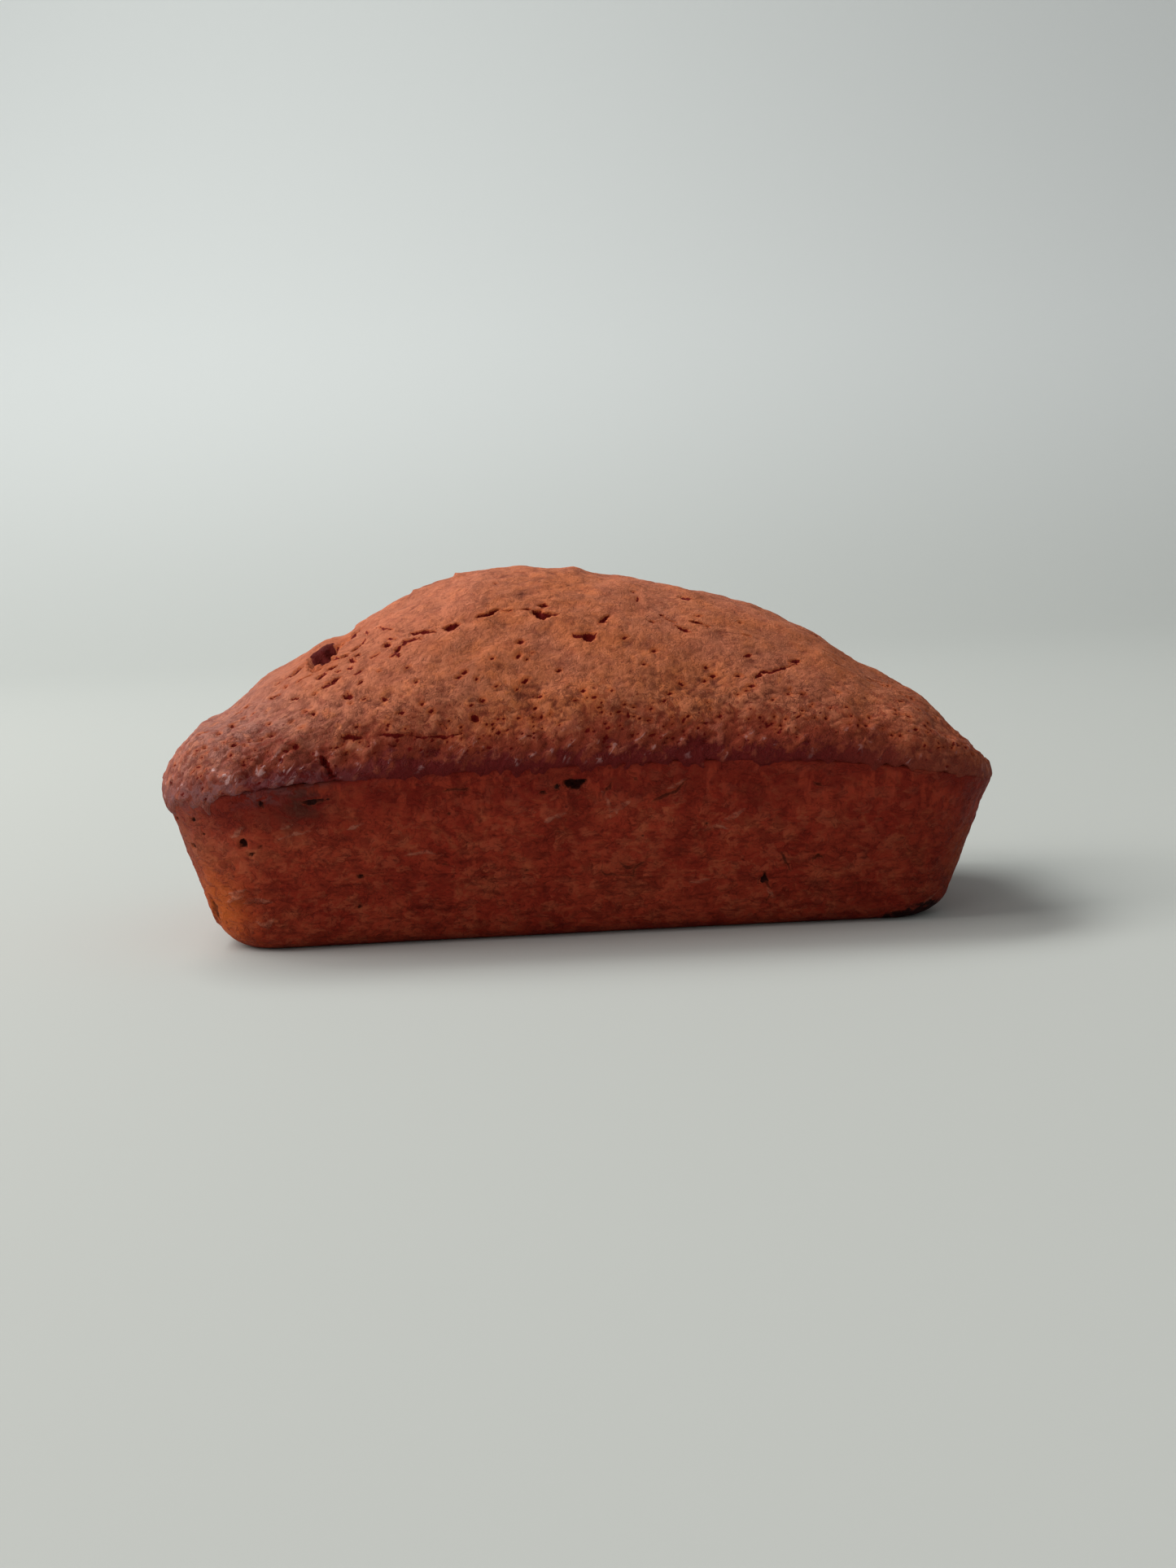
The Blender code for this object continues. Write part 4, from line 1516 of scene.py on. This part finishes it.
@dataclass(frozen=True)
class CrownFinish:
    """Matt, unevenly browned crust that darkens to a caramel band along the rim.

    Args:
        grain: The group of small-scale masks.
        openings: The group that draws cracks and pits.
    """

    grain: bpy.types.NodeTree
    openings: bpy.types.NodeTree
    warm: Triple = rgb(205, 113, 68)
    rosy: Triple = rgb(200, 114, 80)
    dun: Triple = rgb(164, 96, 70)
    dusty: Triple = rgb(162, 108, 96)
    # colour of the painted shade towards the right end
    umber: Triple = rgb(142, 60, 32)
    tawny: Triple = rgb(184, 92, 46)
    chip: Triple = rgb(228, 130, 80)
    pink: Triple = rgb(206, 122, 88)
    brown: Triple = rgb(104, 40, 26)
    russet: Triple = rgb(138, 50, 30)
    # colour of the painted highlight on the tops of the relief
    flush: Triple = rgb(176, 92, 68)
    caramel: Triple = rgb(97, 14, 11)
    plum: Triple = rgb(122, 80, 84)
    # colour of the painted glints
    glint: Triple = rgb(200, 150, 148)
    # colour of the painted shade inside cracks, pits and pin holes
    pit: Triple = rgb(108, 10, 2)
    # colour of the painted shade on the hollow's back wall
    deep: Triple = rgb(88, 8, 2)
    crumb: Triple = rgb(198, 92, 38)

    def paint(self, bench: Bench) -> Given:
        """Lay out the finish.

        Args:
            bench: A bench on the material's nodes.

        Returns:
            What the shader's inputs take.
        """
        place = bench.place()
        patches, fine, crevices, holes, flakes, seams = bench.group(self.grain, {
            "Place": place, "Patch Scale": 330.0, "Grain Scale": 1100.0, "Crevice Scale": 260.0,
            "Hole Scale": 420.0, "Flake Scale": 420.0,
        })
        beside, near, width, pit = bench.marks("crack_side", "crack_near", "crack_width", "crack_pit")
        opened, edge = bench.group(self.openings, {
            "Side": beside, "Near": near, "Width": width, "Pit": pit, "Noise": fine,
        })
        relief, flank, calm, over_rim, band = bench.marks("grain", "flank", "calm", "over_rim", "band")
        left, right, torn, hollow = bench.marks("left", "right", "torn", "hollow")
        fresh, soot = bench.marks("fresh", "soot")

        spread = flank.ramp(0.0, 0.7, 0.25, 0.5)
        chips = bench.noise(place, 0.0042, 3.0, 0.5, 0.3).ramp(0.56, 0.68)
        chips *= over_rim.ramp(3.0, 16.0, 0.3, 1.0)
        split = seams * bench.noise(place, 0.008, 3.0, 0.6).ramp(0.46, 0.62)
        # painted shade: crevices and flake seams are painted darker, and sunk by the bump
        creased = (crevices * flank.ramp(0.0, 0.7, 0.25, 0.8)).most(split * flank.ramp(0.0, 0.7, 0.4, 0.8))
        slanting = bench.noise(bench.slanted(place, 50.0, 2.4), 0.002, 3.0, 0.55, 0.6)
        level = over_rim + (patches - 0.5) * 12.0 + (slanting - 0.5) * 8.0 + (flakes - 0.5) * 3.0
        level += (bench.noise(place, 0.009, 3.0) - 0.5) * 12.0
        # painted highlight: the tops of the fine relief are painted lighter and kept out of the dark rim band
        raised = relief.ramp(0.56, 0.85) * flank.ramp(0.1, 0.8)
        dark_edge = level.ramp(5.0, 1.0) * band * raised.ramp(0.0, 1.0, 1.0, 0.55)
        bloom = level.ramp(9.0, 1.0) * left * flakes.ramp(0.2, 0.7) * patches.ramp(0.36, 0.56, 0.4, 1.0)
        # painted glints: pale slanting marks by the rim, which are also coated for a real gloss
        lit = slanting.ramp(0.56, 0.64) * over_rim.ramp(11.0, 6.0) * over_rim.ramp(-1.0, 1.0)
        lit *= relief.ramp(0.45, 0.7)
        # pin holes, painted dark as the shade inside them
        pinned = holes * flank.ramp(0.05, 0.7, 0.2, 1.0)
        # painted shade: the hollow's back wall, dark with ragged edges
        painted_hollow_shade = (hollow + (fine - 0.5) * 1.2 + (patches - 0.5) * 1.6).ramp(0.3, 0.75)
        colour = bench.layers(
            self.warm,
            (bench.noise(place, 0.034, 3.0, 0.55, 0.4).ramp(0.38, 0.62), self.rosy),
            (bench.noise(place, 0.014, 5.0, 0.6, 0.8).ramp(0.46, 0.66) * 0.5, self.dun),
            (left * over_rim.ramp(36.0, 14.0, 0.3, 0.9), self.dusty),
            # painted shade towards the right end
            (right * 0.3, self.umber),
            (fresh * 0.4, self.tawny),
            (chips * calm * flank.ramp(0.05, 0.5, 0.25, 0.65), self.chip),
            (flakes.ramp(0.5, 0.95) * spread, self.pink),
            (flakes.ramp(0.4, 0.0) * spread, self.russet),
            (patches.ramp(0.5, 0.34) * calm * 0.3, self.brown),
            (fine.ramp(0.5, 0.36) * calm * flank.ramp(0.0, 0.8, 0.2, 0.4), self.brown),
            # painted shade in the low places of the fine relief
            (relief.ramp(0.47, 0.12) * calm * 0.75, self.brown),
            (torn * 0.6, self.crumb),
            (edge * 0.45, self.crumb),
            # painted shade in the creases
            (creased * calm * 0.75, self.brown),
            (level.ramp(17.0, 4.0) * band, self.russet),
            (level.ramp(8.0, 3.0) * band * 0.5, self.brown),
            # painted highlight on the tops of the fine relief
            (raised * 0.6, self.flush),
            (dark_edge, self.caramel),
            (bloom * 0.7, self.plum),
            (soot * patches.ramp(0.36, 0.56) * 0.7, self.brown),
            # painted glints, stronger at the left end
            (lit * left.ramp(0.0, 1.0, 0.36, 0.6), self.glint),
            # painted shade in the pin holes
            (pinned * 0.9, self.pit),
            # painted shade on the hollow's back wall
            (painted_hollow_shade, self.deep),
            # painted shade: the insides of cracks and pits
            (opened, self.pit),
        )
        return {
            "Base Color": colour,
            "Specular IOR Level": 0.16,
            "Coat Roughness": 0.28,
            "Roughness": dark_edge.ramp(0.0, 1.0, 0.82, 0.66),
            "Coat Weight": lit * left.ramp(0.0, 1.0, 0.4, 0.9),
            "Normal": bench.bumps(
                (patches - creased * 0.5 - pinned * 0.8 + flakes * 0.3, 0.0011, 0.6),
                (slanting * over_rim.ramp(14.0, 6.0), 0.001, 0.5),
                (fine, 0.0004, 0.5),
            ),
        }


@dataclass(frozen=True)
class SideFinish:
    """Darker, redder crust with a faint gloss, charred at its edge. Its rounded corners carry painted
    light; its base, its top under the lip, its openings and its creases carry painted shade.

    Args:
        grain: The group of small-scale masks.
        openings: The group that draws cracks and pits.
    """

    grain: bpy.types.NodeTree
    openings: bpy.types.NodeTree
    ground: Triple = rgb(158, 56, 36)
    red: Triple = rgb(144, 42, 27)
    amber: Triple = rgb(176, 92, 60)
    dark: Triple = rgb(84, 17, 11)
    ash: Triple = rgb(62, 40, 32)
    band: Triple = rgb(106, 20, 15)
    # colours of the painted light on the rounded corners
    painted_corner_light: Triple = rgb(186, 88, 34)
    tan: Triple = rgb(146, 80, 58)
    plum: Triple = rgb(104, 60, 60)
    # colour of the charred patch, also used for painted shade along the base and in the openings
    burnt_and_shade: Triple = rgb(30, 9, 8)
    # colour of the painted glints on the folds
    pale: Triple = rgb(206, 132, 100)

    def paint(self, bench: Bench) -> Given:
        """Lay out the finish.

        Args:
            bench: A bench on the material's nodes.

        Returns:
            What the shader's inputs take.
        """
        place = bench.place()
        drawn_out = bench.stretched(place, (0.75, 0.75, 1.0))
        patches, fine, crevices, holes, flakes, seams = bench.group(self.grain, {
            "Place": drawn_out, "Patch Scale": 300.0, "Grain Scale": 1000.0, "Crevice Scale": 300.0,
            "Hole Scale": 330.0, "Flake Scale": 430.0,
        })
        beside, near, width, pit = bench.marks("crack_side", "crack_near", "crack_width", "crack_pit")
        opened, edge = bench.group(self.openings, {
            "Side": beside, "Near": near, "Width": width, "Pit": pit, "Noise": fine,
        })
        fold_beside, fold_near, fold_width = bench.marks("fold_side", "fold_near", "fold_width")
        fold, fold_edge = bench.group(self.openings, {
            "Side": fold_beside, "Near": fold_near, "Width": fold_width, "Pit": -3.0, "Noise": fine,
        })
        relief, below_rim, band, left, painted_right_shade = bench.marks("grain", "below_rim", "band", "left", "painted_right_shade")
        tan, painted_corner_light, soot, grey, burnt_and_shade = bench.marks("tan", "painted_corner_light", "soot", "grey", "burnt_and_shade")

        lines = bench.noise(bench.stretched(place, (0.22, 0.22, 1.0)), 0.0017, 3.0, 0.6, 0.3).ramp(0.47, 0.36)
        soft = patches.ramp(0.35, 0.55, 0.55, 1.0)
        patchy = patches.ramp(0.36, 0.56)
        level = below_rim + (patches - 0.5) * 8.0 + (bench.noise(place, 0.011, 3.0) - 0.5) * 12.0
        streaks = bench.noise(bench.stretched(place, (1.0, 1.0, 0.12)), 0.003, 3.0, 0.6).ramp(0.48, 0.6)
        streaks *= level.ramp(16.0, 10.0) * below_rim.ramp(1.0, 3.5)
        streaks *= bench.noise(place, 0.017, 2.0).ramp(0.38, 0.55)
        split = seams * bench.noise(place, 0.009, 3.0, 0.6).ramp(0.5, 0.66)
        # painted glints: folds painted pale, which are also coated for a real gloss
        fold_glints = fold * patches.ramp(0.35, 0.6)
        scorch_and_base_shade = burnt_and_shade * patches.ramp(0.4, 0.6, 0.5, 1.3)
        # how much painted shade an opening gets, more for wider ones
        gaping = width.most(pit.ramp(-0.2, 0.0) * 0.6).ramp(0.3, 0.75, 0.45, 0.92)
        colour = bench.layers(
            self.red,
            (bench.noise(place, 0.02, 4.0, 0.6, 0.5).ramp(0.36, 0.64), self.ground),
            (bench.noise(drawn_out, 0.007, 4.0, 0.6, 0.5).ramp(0.5, 0.72) * 0.42, self.amber),
            (patches.ramp(0.5, 0.3) * 0.42, self.dark),
            (patches.ramp(0.54, 0.72) * 0.35, self.amber),
            (flakes.ramp(0.55, 0.95) * 0.24, self.amber),
            (flakes.ramp(0.4, 0.0) * 0.32, self.dark),
            (lines * below_rim.ramp(12.0, 34.0, 0.3, 0.75) * 0.6, self.dark),
            (fine.ramp(0.48, 0.34) * 0.35, self.dark),
            # painted shade in the low places of the relief
            (relief.ramp(0.45, 0.1) * 0.5, self.dark),
            # painted shade towards the right end
            (painted_right_shade * 0.4, self.dark),
            # painted light on the rounded corners, this layer and the next
            (tan * soft * 0.75, self.tan),
            (painted_corner_light * soft * 0.85, self.painted_corner_light),
            # dark band below the rim, partly painted shadow under the lip
            (level.ramp(16.0, 4.5) * band * 0.62, self.band),
            # painted shade under the lip at the left end
            (level.ramp(15.0, 6.0) * left * band * 0.2, self.dark),
            (level.ramp(5.5, 1.5) * left * flakes.ramp(0.15, 0.6) * 0.6, self.plum),
            (soot * patchy * 0.6, self.dark),
            (grey * patchy * 0.75, self.ash),
            (streaks * 0.7, self.ground),
            # painted shade in the flake seams
            (split * 0.35, self.dark),
            # painted glint along the folds' edges
            (fold_edge * 0.05, self.pale),
            # painted glints on the folds
            (fold_glints * 0.18, self.pale),
            # charred corner, and painted shadow along the base
            (scorch_and_base_shade.ramp(0.35, 0.85, 0.0, 0.95), self.burnt_and_shade),
            # painted shade in the crevices
            (crevices * 0.35, self.dark),
            # painted shade in the pin holes
            (holes * 0.5, self.dark),
            (edge * 0.1, self.amber),
            # painted shade: the insides of cracks and pits, nearly black
            (opened * gaping, self.burnt_and_shade),
        )
        return {
            "Base Color": colour,
            "Specular IOR Level": 0.06,
            "Coat Roughness": 0.3,
            "Roughness": patches.ramp(0.35, 0.65, 0.55, 0.7),
            "Coat Weight": fold_glints * 0.4 + flakes.ramp(0.6, 0.9) * 0.05,
            "Normal": bench.bumps(
                (patches - (crevices + split) * 0.3 + (flakes + fold_glints) * 0.4, 0.001, 0.6),
                (fine, 0.0005, 0.5),
            ),
        }


# ---------------------------------------------------------------------------------------------
# Studio and camera
# ---------------------------------------------------------------------------------------------


@dataclass
class Studio:
    """A pale sweep under soft light, and the camera at a table's height, a little below level.

    Its lengths are in metres.
    """

    wall_colour: Triple = rgb(232, 234, 232)
    floor_colour: Triple = rgb(196, 197, 192)
    sweep_width: float = 9.0
    front: float = -2.2
    turn_at: float = 1.5
    turn_radius: float = 1.4
    top: float = 4.5
    camera_place: Triple = (-0.02234, -0.59332, 0.1075)
    yaw: float = 2.5
    pitch: float = 6.67
    roll: float = 2.43
    focal_pixels: float = 2411.0
    image_height: int = 1927
    sensor: float = 36.0

    def paper(self, bench: Bench) -> Given:
        """Lay out the paper of the sweep, which is paler up the wall.

        Args:
            bench: A bench on the material's nodes.

        Returns:
            What the shader's inputs take.
        """
        apart = bench.add("ShaderNodeSeparateXYZ", {"Vector": bench.place()}).outputs
        rising = (Wire(bench, apart["Z"]) + Wire(bench, apart["Y"]) * 0.1).ramp(0.0, 0.75)
        colour = bench.layers(self.floor_colour, (rising, self.wall_colour))
        return {"Base Color": colour, "Roughness": 0.9, "Specular IOR Level": 0.1}

    def sweep(self) -> bpy.types.Object:
        """The floor and the backdrop: a straight run, a quarter turn and a straight wall."""
        turned = np.linspace(0, np.pi / 2, 24)
        wall = self.turn_at + self.turn_radius
        along = np.concatenate(((self.front,), self.turn_at + self.turn_radius * np.sin(turned), (wall,)))
        level = np.concatenate(((0.0,), self.turn_radius * (1 - np.cos(turned)), (self.top,)))
        count = len(along)
        points = np.concatenate([
            np.column_stack((np.full(count, side * self.sweep_width / 2), along, level)) for side in (-1, 1)
        ])
        row = np.arange(count - 1)
        faces = np.column_stack((row, row + count, row + count + 1, row + 1))
        mesh = Shell(points / MM, faces, []).to_mesh("sweep")
        mesh.materials.append(painted("sweep paper", self.paper))
        return link("sweep", mesh)

    def lamp(self, name: str, place: Triple, size: Pair, power: float, colour: Triple) -> bpy.types.Object:
        """A soft rectangular lamp that faces the loaf.

        Args:
            name: Its name.
            place: Where it hangs.
            size: Its width and height.
            power: Its power in watts.
            colour: Its colour.

        Returns:
            The lamp.
        """
        data = bpy.data.lights.new(name, "AREA")
        data.shape = "RECTANGLE"
        data.size, data.size_y = size
        data.energy = power
        data.color = colour
        lamp = link(name, data)
        lamp.location = place
        lamp.rotation_euler = (Vector((0, 0, 0.05)) - Vector(place)).to_track_quat("-Z", "Y").to_euler()
        return lamp

    def world(self, strength: float, colour: Triple) -> None:
        """Even fill light from all round.

        Args:
            strength: How bright it is.
            colour: Its colour.
        """
        world = bpy.data.worlds.new("studio fill")
        world.use_nodes = True
        back = world.node_tree.nodes["Background"]
        back.inputs["Color"].default_value = (*colour, 1.0)
        back.inputs["Strength"].default_value = strength
        bpy.context.scene.world = world

    def camera(self) -> None:
        """The camera, looking along its yaw and pitch and then rolled about its own line of sight."""
        yaw, pitch, roll = (math.radians(angle) for angle in (self.yaw, self.pitch, self.roll))
        ahead = Vector((math.sin(yaw) * math.cos(pitch), math.cos(yaw) * math.cos(pitch), -math.sin(pitch)))
        level = Vector((math.cos(yaw), -math.sin(yaw), 0))
        down = ahead.cross(level)
        right = math.cos(roll) * level + math.sin(roll) * down
        below = -math.sin(roll) * level + math.cos(roll) * down
        data = bpy.data.cameras.new("camera")
        data.sensor_width = self.sensor
        data.lens = self.focal_pixels / self.image_height * self.sensor
        data.clip_start, data.clip_end = 0.01, 50.0
        camera = link("camera", data)
        turned = Matrix((right, -below, -ahead)).transposed()
        camera.matrix_world = Matrix.Translation(self.camera_place) @ turned.to_4x4()
        bpy.context.scene.camera = camera

    def build(self) -> None:
        """Set up the sweep, the lamps, the fill and the camera."""
        sweep = self.sweep()
        key = self.lamp("key", (-1.5, -0.1, 1.2), (1.3, 1.3), 21.0, (1.0, 0.985, 0.965))
        fill = self.lamp("front fill", (-1.1, -1.3, 0.5), (0.8, 0.8), 2.5, (1.0, 0.96, 0.92))
        back = self.lamp("back wall", (-1.3, 1.3, 2.6), (2.0, 1.0), 54.0, (0.96, 1.0, 0.99))
        self.world(0.3, (0.95, 0.98, 1.0))
        self.camera()
        bpy.context.scene.view_settings.view_transform = "Standard"
        LOG.info("studio set up")


def main() -> None:
    """Build the two shells, dress them and set up the studio."""
    logging.basicConfig(level=logging.INFO, format="%(name)s: %(message)s")
    form, relief, hollow = LoafForm(), CrustRelief(), Hollow()
    crown = CrownCrust(form, relief, hollow).build()
    side = SideCrust(form, relief).build()
    fit_to_box([crown, side], *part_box("loaf"))
    grain, openings = crumb_grain_group(), opening_group()
    crown.dress("crown_crust", painted("crown crust", CrownFinish(grain, openings).paint))
    side.dress("side_crust", painted("side crust", SideFinish(grain, openings).paint))
    Studio().build()
    bpy.context.view_layer.update()


if __name__ == "__main__":
    main()
